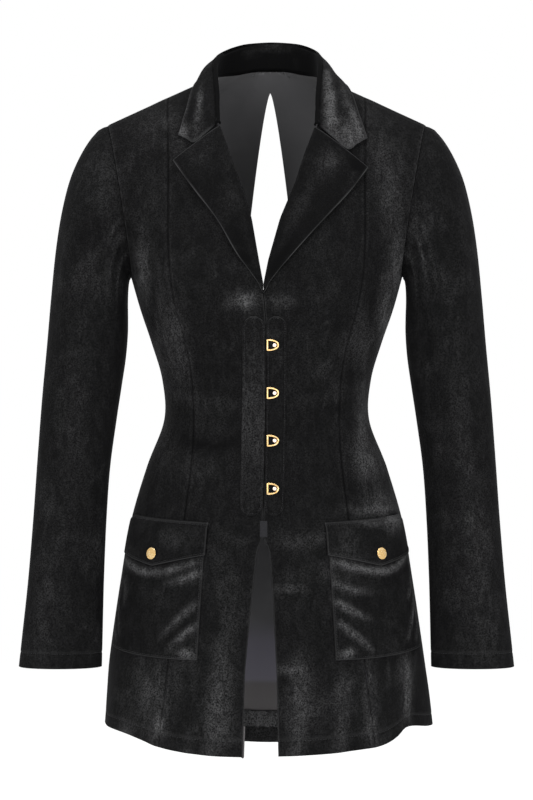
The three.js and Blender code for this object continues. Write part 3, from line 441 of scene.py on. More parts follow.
def bodyColumns(half):
    front = half == "front"
    endX, endY, endZ = armholePoint(armholeLevels[:, 0], half)
    count = len(levels)
    return {
        "centreZ": np.concatenate([levels[:, 0], armholeLevels[:, 1 if front else 2]]),
        "endZ": np.concatenate([levels[:, 1], endZ]),
        "endX": np.concatenate([levels[:, 2], endX]),
        "endY": np.concatenate([levels[:, 3], endY]),
        "centreY": np.concatenate([levels[:, 4 if front else 5], armholeLevels[:, 3 if front else 4]]),
        "turn": np.concatenate([np.full(count, 90.0), armholeLevels[:, 5 if front else 6]]),
        "bend": np.concatenate([np.full(count, 2.0), np.ones(len(armholeLevels))]),
        "princessX": np.concatenate([levels[:, 6], armholeLevels[:, 7]]),
    }


bodyTable = {"front": bodyColumns("front"), "back": bodyColumns("back")}


def rowAt(half, v):
    row = {}
    rows = np.arange(topRow + 1)
    for key, values in bodyTable[half].items():
        turnsCorner = key in ("endX", "endY", "endZ", "turn", "bend")
        row[key] = splineAt(values, v, underarmRow if turnsCorner else -1)
        if key in ("endX", "endY", "endZ"):
            row[key] = np.where(v > underarmRow, np.interp(v, rows, values), row[key])
    return row


def shareAt(row, x):
    turn = np.radians(row["turn"])
    return np.arcsin(np.clip(x * np.sin(turn) / row["endX"], -1, 1)) / turn


def bodyPoint(half, side, share, v):
    share, v = np.broadcast_arrays(np.asarray(share, float), np.asarray(v, float))
    row = rowAt(half, v)
    turn = np.radians(row["turn"])
    x = row["endX"] * np.sin(turn * share) / np.sin(turn)
    bow = (np.cos(turn * share) - np.cos(turn)) / (1 - np.cos(turn))
    y = row["endY"] + (row["centreY"] - row["endY"]) * bow
    flat = levelBack * np.clip(v - underarmRow, 0, 1) if half == "back" else np.zeros(v.shape)
    reach = np.where(np.abs(x) < flat, (x * x / np.maximum(flat, 1e-6) + flat) / 2, np.abs(x)) / row["endX"]
    z = row["centreZ"] + (row["endZ"] - row["centreZ"]) * reach ** row["bend"]
    if half == "front":
        away = ((x - bust["x"]) / bust["spreadX"]) ** 2 + ((z - bust["z"]) / bust["spreadZ"]) ** 2
        y = y - bust["height"] * np.exp(-away) * (1 - np.minimum(1, np.abs(share)) ** 6)
    around = 90 * share if half == "front" else 180 - 90 * share
    length = np.maximum(1, np.hypot(x, y - row["endY"]))
    for foldSide, at, width, height, top in skirtFolds:
        if foldSide == side:
            out = height * bell(around - at, width) * smooth((top - z) / (top - hemZ))
            x = x + out * x / length
            y = y + out * (y - row["endY"]) / length
    for stepSide, at, width, rise in hemSteps:
        if stepSide == side:
            z = z + rise * bell(around - at, 2 * width) * smooth((hemStepTop - z) / (hemStepTop - hemZ))
    return np.stack([side * x, y, z], -1)


def swayed(points):
    # The same points where the jacket hangs
    moved = np.array(points, float)
    moved[..., 0] += sway["reach"] * smooth((moved[..., 1] - sway["startY"]) / sway["depth"])
    return moved


def unit(vectors):
    return vectors / np.maximum(np.linalg.norm(vectors, axis=-1, keepdims=True), 1e-9)


def bodyNormal(half, side, share, v):
    share, v = np.broadcast_arrays(np.asarray(share, float), np.asarray(v, float))
    upper = v > underarmRow
    up = np.where(upper, np.minimum(topRow, v + 0.05), np.minimum(underarmRow, v + 0.05))
    down = np.where(upper, np.maximum(underarmRow, v - 0.05), np.maximum(0, v - 0.05))
    across = bodyPoint(half, side, share + 0.004, v) - bodyPoint(half, side, share - 0.004, v)
    along = bodyPoint(half, side, share, up) - bodyPoint(half, side, share, down)
    return unit(np.cross(across, along)) * (side if half == "front" else -side)


# Creases: points in the front or back view (x, z), width, height; a minus height is a trough
frontCreases = [
    ([(-45, -258), (-23, -247), (-6, -251)], 5, 1.1),
    ([(4, -251), (21, -248.5), (38, -254)], 4.5, 0.9),
    ([(-108, -354), (-75, -365), (-32, -367)], 8, 0.9),
    ([(-99, -408), (-69, -415), (-32, -409)], 7, -0.7),
    ([(38, -363), (71, -361), (107, -350)], 8, 0.8),
    ([(96, -421), (118, -433), (141, -444)], 9, 1.5),
    ([(91, -460), (118, -466), (145, -471)], 8, -1.1),
    ([(100, -495), (125, -488), (149, -484)], 4.5, 1.6),
    ([(-119, -251), (-106, -296), (-93, -341)], 13, 1.6),
    ([(-131, -216), (-128, -262), (-117, -309)], 7, -1.2),
    ([(147, -195), (136, -251), (112, -307)], 14, 2),
    ([(128, -212), (121, -262), (106, -300)], 7, -1.1),
    ([(-46, -610), (-52, -680), (-61, -762)], 11, 2.6),
    ([(-79, -720), (-85, -739), (-89, -762)], 6, 1.6),
    ([(38, -632), (35, -688), (32, -762)], 9, 2.2),
    ([(88, -664), (84, -700), (80, -762)], 9, 2.4),
    ([(20, -576), (31, -573), (42, -574)], 3.5, 0.9),
    ([(15, -663), (24, -665), (33, -663)], 4, 1),
    ([(17, -684), (25, -686), (33, -684)], 4, 0.9),
    ([(116, -663), (115, -684)], 3, 1.4),
    ([(137, -660), (136, -690)], 3, 1.5),
    ([(154, -658), (152, -688)], 3, 1.7),
    ([(160, -658), (161, -688), (160, -726)], 3.5, 2.4),
    ([(171, -652), (164, -690)], 3, 1.5),
    ([(115, -700), (118, -731), (123, -762)], 6, 2.2),
    ([(-122, -660), (-121, -677)], 3, 1.4),
    ([(-142, -654), (-143, -677)], 3.5, 1.3),
    ([(-101, -660), (-99, -692)], 4, 1.4),
    ([(-122, -700), (-123, -731), (-128, -756)], 7, 2.2),
    ([(-118, -20), (-100, -60), (-92, -110)], 12, 0.9),
    ([(120, -24), (128, -66), (130, -120)], 13, 1.1),
    ([(-60, -505), (-40, -520), (-18, -522)], 6, 1.1),
    ([(18, -519), (40, -524), (72, -515)], 7, 1),
]
backCreases = [
    ([(-88, -352), (-40, -368), (20, -371)], 8, 1.3),
    ([(-30, -392), (30, -400), (92, -388)], 7, -1.2),
    ([(34, -356), (70, -352), (104, -340)], 7, 1.1),
    ([(-98, -424), (-60, -433), (-14, -430)], 9, 1.2),
    ([(24, -441), (66, -452), (120, -447)], 9, -1.1),
    ([(-118, -205), (-101, -254), (-82, -300)], 13, 2),
    ([(124, -196), (106, -262), (78, -312)], 12, 1.8),
    ([(-70, -560), (-78, -655), (-92, -762)], 15, 3.4),
    ([(-22, -590), (-24, -680), (-30, -762)], 12, 2.4),
    ([(34, -570), (42, -660), (54, -762)], 14, 3),
    ([(96, -600), (106, -680), (116, -762)], 11, 2.6),
    ([(-140, -640), (-146, -700), (-152, -750)], 9, 2.2),
    ([(-110, -30), (-92, -84), (-84, -140)], 14, 1.4),
    ([(106, -36), (96, -92), (90, -150)], 14, 1.2),
    ([(-9, 6), (-14, 16), (-15, 28)], 3, 1.2),
    ([(8, 5), (11, 15), (16, 26)], 3, 1.1),
    ([(-14, -2), (-26, 4), (-36, 8)], 3, 0.8),
]


def sagCurve(path, count=15):
    # A smooth line through a crease's few points
    path = np.array(path, float)
    t = np.linspace(0, len(path) - 1, count)
    return np.stack([splineAt(path[:, 0], t), splineAt(path[:, 1], t)], -1)


def creaseLift(creases, x, z):
    # Height of all creases at x and z: each is full in its middle and runs out at both ends
    total = np.zeros(np.shape(x))
    for path, width, height in creases:
        line = sagCurve(path)
        reach = 3 * width
        near = ((x > line[:, 0].min() - reach) & (x < line[:, 0].max() + reach)
                & (z > line[:, 1].min() - reach) & (z < line[:, 1].max() + reach))
        if not near.any():
            continue
        px, pz = x[near], z[near]
        best = np.full(px.shape, 1e9)
        along = np.zeros(px.shape)
        for k in range(len(line) - 1):
            a, b = line[k], line[k + 1]
            d = b - a
            t = np.clip(((px - a[0]) * d[0] + (pz - a[1]) * d[1]) / max(d @ d, 1e-6), 0, 1)
            far = (px - a[0] - t * d[0]) ** 2 + (pz - a[1] - t * d[1]) ** 2
            closer = far < best
            best = np.where(closer, far, best)
            along = np.where(closer, (k + t) / (len(line) - 1), along)
        # a crease that reaches the hem stays open there
        atHem = path[-1][1] <= hemZ + 5
        taper = smooth(along * 2.2 + 0.1) if atHem else np.sin(np.pi * (0.12 + 0.76 * along))
        total[near] += height * np.exp(-best / width**2) * taper
    return total


creaseTable = {"front": frontCreases, "back": backCreases}


def skin(half, side, share, v, out=0.0):
    # A point on the creased cloth, moved out along the surface's direction
    point = bodyPoint(half, side, share, v)
    normal = bodyNormal(half, side, share, v)
    toSeam = smooth((1 - np.abs(np.broadcast_to(share, point.shape[:-1]))) / 0.07)
    lift = creaseLift(creaseTable[half], point[..., 0], point[..., 2]) * toSeam
    return point + normal * (lift + out)[..., None]


def placeOnFront(side, x, z):
    # Share and row of the front at x, counted outwards from the centre, and z
    x, z = np.broadcast_arrays(np.asarray(x, float), np.asarray(z, float))
    v = np.interp(z, bodyTable["front"]["centreZ"], np.arange(topRow + 1))
    share = shareAt(rowAt("front", v), x)
    for _ in range(14):
        here = bodyPoint("front", side, share, v)
        above = np.minimum(v + 0.01, topRow)
        ds = (bodyPoint("front", side, share + 0.002, v) - here) / 0.002
        dv = bodyPoint("front", side, share, above) - bodyPoint("front", side, share, v - 0.01)
        dv = dv / (above - v + 0.01)[..., None]
        a, b, c, d = side * ds[..., 0], side * dv[..., 0], ds[..., 2], dv[..., 2]
        ex, ez = x - side * here[..., 0], z - here[..., 2]
        det = a * d - b * c
        det = np.where(np.abs(det) < 1e-6, 1e-6, det)
        share = np.clip(share + np.clip((d * ex - b * ez) / det, -0.1, 0.1), -0.6, 1.15)
        v = np.clip(v + np.clip((a * ez - c * ex) / det, -1.2, 1.2), 0.02, topRow)
    return share, v


def onFront(side, x, z, out):
    share, v = placeOnFront(side, x, z)
    return skin("front", side, share, v, out)


def rowsOfFront(side, share, z):
    # Row of the front at a share and a height
    share, z = np.broadcast_arrays(np.asarray(share, float), np.asarray(z, float))
    return halve(np.zeros(z.shape), np.full(z.shape, float(topRow)),
                 lambda row: bodyPoint("front", side, share, row)[..., 2] < z, 26)


def frontEdgeX(side, z):
    # x of the front's edge, counted outwards
    return side * np.interp(z, frontEdge[side][:, 0], frontEdge[side][:, 1])


# Making cloth

# Painted sheen where the pile is brushed: x, z, reach across and up, how light
frontSheenPatches = [
    (-26, -251, 14, 9, 0.55), (18, -253, 12, 8, 0.2), (-142, -222, 9, 40, 0.4), (-104, -300, 12, 42, 0.15),
    (-120, -397, 14, 48, 0.12), (152, -215, 8, 44, 0.5), (140, -150, 12, 40, 0.12), (108, -292, 9, 36, 0.15),
    (118, -436, 16, 24, 0.3), (133, -476, 16, 16, 0.35), (-131, -43, 26, 20, 0.1), (-131, -139, 18, 40, 0.04),
    (144, -105, 16, 40, 0.1), (-42, -620, 10, 60, 0.03), (-52, -708, 18, 36, 0.15), (-131, -700, 22, 34, 0.2),
    (44, -700, 12, 34, 0.2), (88, -688, 12, 26, 0.08), (160, -690, 5, 40, 0.4), (116, -700, 10, 40, 0.15),
    (-80, -442, 26, 16, 0.08), (43, -520, 30, 10, 0.12), (26, -574, 16, 4, 0.2), (24, -664, 13, 5, 0.25),
    (-120, -731, 8, 8, 0.35), (125, -488, 26, 4, 0.3), (137, -275, 8, 36, 0.5), (110, -388, 8, 46, 0.4),
    (160, -530, 6, 34, 0.35), (-124, -292, 7, 50, 0.15), (-172, -612, 6, 26, 0.3), (-160, -742, 10, 14, 0.3),
]
backSheenPatches = [
    (-104, -240, 16, 50, 0.16), (112, -228, 14, 54, 0.14), (-30, -378, 44, 12, 0.1), (62, -392, 34, 10, 0.08),
    (-80, -430, 26, 14, 0.08), (-82, -668, 16, 66, 0.12), (44, -650, 14, 70, 0.12), (110, -690, 12, 50, 0.15),
    (-146, -690, 12, 46, 0.1), (-24, -690, 10, 50, 0.08), (-96, -84, 26, 40, 0.08), (98, -80, 26, 44, 0.1),
]
sheenPatchTable = {"front": frontSheenPatches, "back": backSheenPatches}


def patchSum(patches, x, z, start=0.0):
    # Soft patches over one another, each full in its middle
    total = np.full(np.shape(x), start)
    for px, pz, wide, high, light in patches:
        total = total + light * np.exp(-(((x - px) / wide) ** 2) - ((z - pz) / high) ** 2)
    return total


def sheenPatchesAt(patches, x, z):
    return np.clip(patchSum(patches, x, z), -0.12, 1)


def gridObject(name, grids, materials, wall=None, brushedSheen=None, pressedEdgeHighlight=None, flip=False):
    # One mesh from grids of points in millimetres; neighbouring grids are joined where they meet
    points, faces, light, fold = [], [], [], []
    for k, grid in enumerate(grids):
        grid = np.asarray(grid)
        rows, columns = grid.shape[:2]
        start = sum(len(p) for p in points)
        points.append(grid.reshape(-1, 3))
        light.append(np.zeros(rows * columns) if brushedSheen is None else np.asarray(brushedSheen[k]).reshape(-1))
        fold.append(np.zeros(rows * columns) if pressedEdgeHighlight is None else np.asarray(pressedEdgeHighlight[k]).reshape(-1))
        index = np.arange(rows * columns).reshape(rows, columns) + start
        quads = np.stack([index[:-1, :-1], index[:-1, 1:], index[1:, 1:], index[1:, :-1]], -1).reshape(-1, 4)
        turned = flip[k] if isinstance(flip, (list, tuple)) else flip
        faces.append(quads[:, ::-1] if turned else quads)
    mesh = bpy.data.meshes.new(name)
    mesh.from_pydata((swayed(np.concatenate(points)) * mm).tolist(), [], np.concatenate(faces).tolist())
    # the first attribute carries painted sheen and shade where the pile is brushed, the second the painted
    # highlight of pressed edges
    for label, values in (("brushedSheen", light), ("pressedEdgeHighlight", fold)):
        attribute = mesh.attributes.new(label, "FLOAT", "POINT")
        attribute.data.foreach_set("value", np.concatenate(values).astype(np.float32))
    shape = bmesh.new()
    shape.from_mesh(mesh)
    bmesh.ops.remove_doubles(shape, verts=shape.verts, dist=0.00002)
    bmesh.ops.dissolve_degenerate(shape, edges=shape.edges, dist=0.00001)
    shape.to_mesh(mesh)
    shape.free()
    mesh.shade_smooth()
    for material in materials:
        mesh.materials.append(material)
    piece = bpy.data.objects.new(name, mesh)
    scene.collection.objects.link(piece)
    if wall:
        solid = piece.modifiers.new("wall", "SOLIDIFY")
        solid.thickness = wall * mm
        solid.offset = -1
        solid.material_offset = len(materials) - 1
    return piece


def wear(piece, node):
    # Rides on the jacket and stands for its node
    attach(piece, "root")
    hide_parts(*([node] if isinstance(node, str) else node))


def edgeDistance(grid, axis, fromEnd=False):
    step = np.linalg.norm(np.diff(grid, axis=axis), axis=2)
    pad = [(1, 0), (0, 0)] if axis == 0 else [(0, 0), (1, 0)]
    run = np.cumsum(np.pad(step, pad), axis=axis)
    return run.max(axis=axis, keepdims=True) - run if fromEnd else run


def sewOn(side, name, node, surface, wall=seams["wall"], backed=True):
    # A cloth piece of one side, from its points, its painted sheen where the pile is brushed, and its pressed edges
    # with their painted highlight
    grid, light, pressHighlight = surface
    materials = [velvet, knit] if backed else [velvet]
    piece = gridObject(name, [grid], materials, wall, [light], [pressHighlight], flip=side < 0)
    wear(piece, node)


def across(edges, middle, count):
    # Shares across a panel, close together near both edges
    inner = np.linspace(middle, 1 - middle, count)
    return np.concatenate([edges, inner, 1 - np.array(edges[::-1])])


panelCut = {
    "pitch": 4.2, "edgeShares": [0, 0.007, 0.016, 0.03, 0.05, 0.08],
    "stitchUp": 17.5, "stitchDip": 0.55, "stitchWidth": 1.3, "perMm": 1 / (levels[1, 0] - levels[0, 0]),
    "seamDip": 0.6, "seamWidth": 1.7, "foldDip": 0.9, "foldWidth": 0.8,
    "creaseHighlight": 0.075, "insideSheen": 0.12, "turnedSheen": 0.55,
}
# Rows of the outside near the hem: height. Rows of the turn-up: height, and how far out from the cloth's face
hemHeights = np.array([0.4, 1.3, 3, 7, 12, 15.6, 16.8, 17.5, 18.2, 19.4, 23])
hemTurn = [(35, -3.2), (33.8, -3.3), (25, -3.3), (19, -3.2), (17.5, -2.9), (16, -3.2), (11, -3.3), (6, -3.3),
           (2.4, -3.2), (0.9, -2.8), (0.15, -2.2), (0, -1.6), (0.1, -0.9)]


def panelRows(half, extra=()):
    gaps = np.maximum(*(np.abs(np.diff(bodyTable[half][key])) for key in ("centreZ", "endZ")))
    rows = []
    for i, gap in enumerate(gaps):
        rows += list(i + np.arange(0, 1, 1 / max(2, round(gap / panelCut["pitch"]))))
    neck = neckRow + (topRow - neckRow) * np.linspace(0, 1, 34) ** 2
    rows = sorted({round(v, 4) for v in [*rows, *extra, *neck, topRow]})
    return np.array(rows)


def panelGrid(half, side, startShare, endShare, columns, edges, extra=()):
    # Outside of a panel from the hem up, with the hem turned up inside it; an edge is a seam, a fold or none
    perMm = panelCut["perMm"]
    v = panelRows(half, extra)
    v = np.array(sorted({*v[v > 0.5], *np.round(hemHeights * perMm, 4)}))
    shares = columns[None, :]
    a, b = startShare(v)[:, None], endShare(v)[:, None]
    share = a + (b - a) * shares
    row = np.broadcast_to(v[:, None], share.shape)
    point = skin(half, side, share, row)
    normal = bodyNormal(half, side, share, row)
    run = edgeDistance(point, 1)
    height = row / perMm
    onHem = smooth((30 - height) / 4)
    lift = ((point - bodyPoint(half, side, share, row)) * normal).sum(-1)
    # painted sheen where the pile is brushed, and a painted highlight on the creases' ridges that grows with how
    # far they stand out
    pileAndSheen = sheenPatchesAt(sheenPatchTable[half], point[..., 0], point[..., 2]) + panelCut["creaseHighlight"] * lift
    dip = -panelCut["stitchDip"] * bell(height - panelCut["stitchUp"], panelCut["stitchWidth"]) * onHem
    # painted highlight: a faint light line just above the hem's stitches
    pressHighlight = 0.1 * bell(height - panelCut["stitchUp"] - 1.6, 1.1) * onHem
    for distance, kind in ((run, edges[0]), (run[:, -1:] - run, edges[1])):
        if kind == "seam":
            dip = dip - panelCut["seamDip"] * bell(distance, panelCut["seamWidth"])
            # painted highlight beside a seam and painted shade in its dip
            pileAndSheen = pileAndSheen + 0.04 * bell(distance - 3, 1.6) - 0.05 * bell(distance, 1.3)
        if kind == "seam" and half == "front":
            # painted highlight: the armhole's seam shows as an uneven fine light line
            onArmhole = smooth((row - underarmRow) * 3) * (share > 0.9)
            pressHighlight = pressHighlight + onArmhole * (0.2 + 0.12 * np.sin(row * 13)) * bell(distance - 0.8, 0.7)
        if kind == "fold":
            dip = dip - panelCut["foldDip"] * bell(distance, panelCut["foldWidth"])
            # painted highlight along a folded edge, where the pile is also pressed
            pressHighlight = pressHighlight + 0.22 * bell(distance - 0.5, 0.6)
    inside = []
    for up, out in hemTurn:
        at = np.full(1, up * perMm)
        turned = startShare(at)[:, None] + (endShare(at) - startShare(at))[:, None] * shares
        inside.append(skin(half, side, turned, np.broadcast_to(at[:, None], turned.shape), out))
    inside = np.concatenate(inside)
    # painted sheen on the turn-up inside the hem
    light = np.concatenate([np.full(inside.shape[:2], panelCut["insideSheen"]), np.clip(pileAndSheen, -0.12, 1)])
    # painted sheen: lighter again above the stitch line inside, where the pile lies the other way
    light[:4] = panelCut["turnedSheen"]
    pressHighlight = np.concatenate([np.zeros(inside.shape[:2]), pressHighlight])
    return np.concatenate([inside, point + normal * dip[..., None]]), light, np.clip(pressHighlight, 0, 1)


def startOfFront(side):
    def start(v):
        row = rowAt("front", v)
        share = np.zeros(np.shape(v))
        for _ in range(10):
            z = bodyPoint("front", side, share, v)[..., 2]
            share = shareAt(row, frontEdgeX(side, z))
        return share
    return start


def princessShare(v):
    row = rowAt("front", v)
    return shareAt(row, row["princessX"])


def insetBy(edge, half, side, amount):
    # Moves a panel's edge by half a seam's gap
    def moved(v):
        share = edge(v)
        ahead, behind = (bodyPoint(half, side, share + step, v) for step in (0.01, -0.01))
        return share + amount * 0.02 / np.maximum(np.linalg.norm(ahead - behind, axis=-1), 1)
    return moved


def sideShare(v):
    return np.ones(np.shape(v))


sideNames = {-1: "left", 1: "right"}


def makeFronts(side):
    name = sideNames[side]
    halfGap = seams["gap"] / 2
    seam = insetBy(princessShare, "front", side, -halfGap)
    grid, light, pressHighlight = panelGrid("front", side, startOfFront(side), seam,
                                   across(panelCut["edgeShares"], 0.12, 22), ("fold", "seam"))
    if side < 0:
        # its edge runs on a little behind the right front's, from the break down to the bar tack
        edgeX, edgeZ = grid[:, 0, 0], grid[:, 0, 2]
        shut = smooth((-237 - edgeZ) / 4) * smooth((edgeZ + 512) / 6)
        inward = -bodyNormal("front", side, 0.01, 3.0)
        under = [grid[:, 0] + inward * depth + np.stack([reach * shut, 0 * edgeX, 0 * edgeX], -1)
                 for depth, reach in ((2.9, 3.4), (2.7, 2), (2.2, 0.5), (1.2, 0.1))]
        grid = np.concatenate([np.stack(under, 1), grid], 1)
        light, pressHighlight = (np.pad(table, ((0, 0), (len(under), 0))) for table in (light, pressHighlight))
    sewOn(side, f"frontCentre_{name}", f"front_centre_{name}", (grid, light, pressHighlight))
    surface = panelGrid("front", side, insetBy(princessShare, "front", side, halfGap),
                        insetBy(sideShare, "front", side, -halfGap), across(panelCut["edgeShares"], 0.12, 17),
                        ("seam", "seam"))
    sewOn(side, f"frontSide_{name}", f"front_side_{name}", surface)


def keyholeHalfWidth(z):
    top = bodyPoint("back", 1, 0, float(keyhole["topRow"]))[2]
    rise = np.clip((top - z) / (top - keyhole["widest"]), 0, 1) ** keyhole["taper"]
    down = np.clip((keyhole["widest"] - z) / (keyhole["widest"] - keyhole["bottom"]), 0, 1)
    width = np.where(z > keyhole["widest"], rise, np.sqrt(1 - down**2)) * keyhole["halfWidth"]
    return np.where((z >= top - 0.01) | (z <= keyhole["bottom"] + 0.01), 0, width)


def startOfBack(v):
    row = rowAt("back", v)
    share = shareAt(row, keyholeHalfWidth(bodyPoint("back", 1, 0, v)[..., 2]))

    def insideNeck(at):
        point = bodyPoint("back", 1, at, v)
        return (point[..., 0] / backNeck["halfWidth"]) ** 2 + (point[..., 1] / backNeck["depth"]) ** 2 < 1

    neck = halve(np.zeros(np.shape(v)), np.full(np.shape(v), 0.5), insideNeck, 30)
    return np.where(v <= neckRow, share, neck)


def makeBack():
    bottomZ = [keyhole["bottom"] + rise for rise in (0, 0.4, 1.5, 3.5, 7, 12)]
    bottomRows = np.interp(bottomZ, bodyTable["back"]["centreZ"], np.arange(topRow + 1))
    columns = across(panelCut["edgeShares"][:4], 0.05, 48)
    halves = [panelGrid("back", side, startOfBack, insetBy(sideShare, "back", side, -seams["gap"] / 2),
                        columns, ("none", "seam"), bottomRows) for side in (-1, 1)]
    grids, lights, pressHighlights = zip(*halves)
    piece = gridObject("backPanel", grids, [velvet, knit], seams["wall"], lights, pressHighlights, flip=[False, True])
    wear(piece, "back")


for side in (-1, 1):
    makeFronts(side)
makeBack()
print("body panels made")

# Sleeves

# outer and inner point in the front view, y of the centre, half depth
sleeveRings = np.array([
    (195, -50.5, 160, -225, 3, 49.5), (206, -63, 161, -232, 3, 50.5), (218, -83, 161.5, -241, 3, 51),
    (229, -110, 161.5, -253, 2, 50), (238, -148, 161, -268, 0, 48.5), (244.5, -192, 161, -288, -2, 46.5),
    (249.5, -245, 163, -315, -5, 44), (254, -300, 167.5, -347, -8, 42), (259.5, -363, 173.5, -388, -12, 39.5),
    (264.5, -433, 180.5, -442, -16, 37), (269, -502, 184.5, -504, -21, 34.5), (274.5, -572, 187, -572, -26, 33),
    (281, -635, 188.3, -635, -30, 33.5), (284.5, -669, 189, -669, -32, 34.5),
])
# Folds: angle, width, height, from and to ring
sleeveFolds = [(62, 16, 3, 2, 9), (118, 15, -2.5, 5, 12), (240, 18, 3, 3, 10)]
quarterAngles = np.array([*armholeLevels[::-1, 0], 180])
# Gathers of the sleeve head: angle from the top, reach down the sleeve in rings, width in degrees, height
headGathers = [
    (-74, 1.6, 4, 1), (-66, 2.2, 4.5, 1.4), (-57, 1.7, 3.6, 1.1), (-49, 2.8, 4.4, 1.6), (-40, 2, 3.8, 1.3),
    (-32, 3, 4.6, 1.7), (-23, 2.1, 3.8, 1.3), (-14, 2.6, 4.2, 1.5), (-5, 1.9, 3.8, 1.2), (4, 2.8, 4.4, 1.6),
    (13, 2, 3.9, 1.3), (22, 3.1, 4.6, 1.8), (31, 2.2, 4, 1.4), (40, 2.9, 4.4, 1.7), (48, 1.8, 3.6, 1.1),
    (57, 3.2, 4.6, 1.7), (66, 2.2, 4.2, 1.4), (75, 2.8, 4.6, 1.5), (85, 1.8, 4, 1),
]
gatherShift = {-1: 1.7, 1: -1.1}
# Long soft creases: ring and angle at both ends, width in degrees, height
sleeveCreases = {
    -1: [((1.5, 117), (8.6, 112), 9, 2.2), ((2.2, 96), (9, 128), 10, -1.8), ((8, 70), (12, 96), 9, 1.3),
         ((11.6, 60), (13.2, 88), 7, 1.4), ((9, 128), (13, 118), 9, 1.2), ((4, 40), (8, 58), 11, 1.3),
         ((3, 262), (8, 288), 12, 2), ((7, 300), (11, 262), 12, -1.6), ((0.2, 119), (4.2, 115), 2.8, 1.1),
         ((0.2, 129), (3.6, 124), 2.6, -1), ((0.2, 139), (4.6, 133), 3, 1.2), ((0.3, 107), (3.2, 104), 2.8, 0.8)],
    1: [((1.2, 128), (8.8, 110), 9, 2.3), ((2, 100), (9, 132), 10, -1.9), ((8.4, 66), (12.2, 90), 10, 1.2),
        ((11.4, 58), (13.1, 86), 7, 1.5), ((9.4, 130), (13, 122), 8, 1.1), ((3.6, 44), (7.6, 66), 11, 1.4),
        ((3.4, 256), (8.4, 280), 12, 1.8), ((7.4, 306), (11.4, 268), 12, -1.5), ((0.2, 116), (3.8, 113), 2.8, 1),
        ((0.2, 126), (4.4, 120), 2.8, -1.1), ((0.2, 137), (4.2, 131), 3, 1.2), ((0.3, 104), (3.6, 100), 2.6, 0.9)],
}
# Painted sheen where the pile is brushed, and painted shade where how light is below zero: ring, angle, reach in
# rings and degrees, how light
sleeveSheenPatches = {
    -1: [(1.6, 60, 1.6, 26, 0.08), (2.4, 117, 2.6, 2.2, 0.24), (2.2, 125, 2, 1.6, -0.05),
         (2.4, 135, 2.4, 2.6, 0.2), (1.8, 106, 1.6, 2, 0.12), (12.4, 60, 1.6, 26, 0.08),
         (9, 92, 2, 20, 0.05), (6, 40, 2.4, 14, 0.03), (5, 270, 3, 24, 0.2), (10, 250, 2.4, 24, 0.2)],
    1: [(1.6, 108, 1.5, 22, 0.06), (2.2, 114, 2.4, 2.2, 0.22), (2.4, 122, 2.2, 1.7, -0.05),
        (2.2, 134, 2.4, 2.6, 0.22), (1.9, 102, 1.8, 2, 0.14), (9.4, 84, 2.2, 18, 0.06),
        (12.2, 70, 1.8, 26, 0.08), (6.4, 50, 2.6, 14, 0.03), (4.6, 262, 3, 22, 0.2), (9, 280, 2.6, 26, 0.2)],
}


def sleeveSeam(side, angle, out=0.0):
    fold = np.where(angle <= 180, angle, 360 - angle)
    v = topRow - np.interp(fold, quarterAngles, np.arange(len(quarterAngles)))
    front, back = (skin(half, side, 1.0, v, out) for half in ("front", "back"))
    seam = np.where((angle <= 180)[..., None], front, back)
    seam[..., 0] += side * seams["gap"]
    return seam


def sleeveRing(side, ring, angle):
    at = np.maximum(ring, 1) - 1
    outerX, outerZ, innerX, innerZ, y, half = (splineAt(sleeveRings[:, k], at) for k in range(6))
    c, s = np.cos(np.radians(angle)), np.sin(np.radians(angle))
    midX, midZ = (outerX + innerX) / 2, (outerZ + innerZ) / 2
    x, z = midX + (outerX - innerX) / 2 * c, midZ + (outerZ - innerZ) / 2 * c
    point = np.stack([side * x, y - half * s, z], -1)
    centre = np.stack([side * midX, y, midZ], -1)
    out = unit(point - centre)
    push = np.zeros(point.shape[:-1])
    for foldAt, width, height, first, last in sleeveFolds:
        t = (ring - first) / (last - first)
        push += np.where((t > 0) & (t < 1), height * np.sin(np.pi * t), 0) * bell(angle - foldAt, width)
    signed = np.where(angle > 180, angle - 360, angle)
    for gatherAt, reach, width, height in headGathers:
        push += (height * np.exp(-(((signed - gatherAt - gatherShift[side]) / width) ** 2) * 1.6)
                 * (1 - smooth((ring - 0.25) / reach)) * smooth((ring + 0.2) / 0.7))
    push -= 0.55 * (1 - smooth(ring / 3)) * smooth((92 - np.abs(signed)) / 14)
    for (ringA, angleA), (ringB, angleB), width, height in sleeveCreases[side]:
        t = (ring - ringA) / (ringB - ringA)
        full = np.where((t > 0) & (t < 1), np.sin(np.pi * np.clip(t, 0, 1)) ** 0.8, 0)
        push += height * full * bell(angle - (angleA + (angleB - angleA) * t), width)
    return point + out * push[..., None]


def sleevePoint(side, ring, angle):
    ring, angle = np.broadcast_arrays(np.asarray(ring, float), np.asarray(angle, float) % 360)
    loose = sleeveRing(side, ring, angle)
    seam = sleeveSeam(side, angle if angle.ndim < 2 else angle[:1])
    t = np.clip(ring, 0, 1)[..., None]
    between = seam + (loose - seam) * t
    return np.where(ring[..., None] >= 1, loose, between)


cuffCut = {"turn": 26, "stitchUp": 19, "stitchDip": 0.5, "lastSpan": 34, "seamAngle": 184, "seamDip": 1.1}
# Rows of the outside near the cuff: height. Rows of the turn-up: height, and how far out from the cloth's face
cuffHeights = np.array([23, 20.8, 19.8, 19, 18.2, 17, 12, 7, 3, 1.3, 0.4])
cuffTurn = [(0.1, -0.9), (0, -1.6), (0.15, -2.2), (0.9, -2.8), (2.4, -3.2), (6, -3.3), (11, -3.3), (17, -3.2),
            (19, -2.9), (20.5, -3.2), (24.5, -3.3), (cuffCut["turn"], -3.2)]


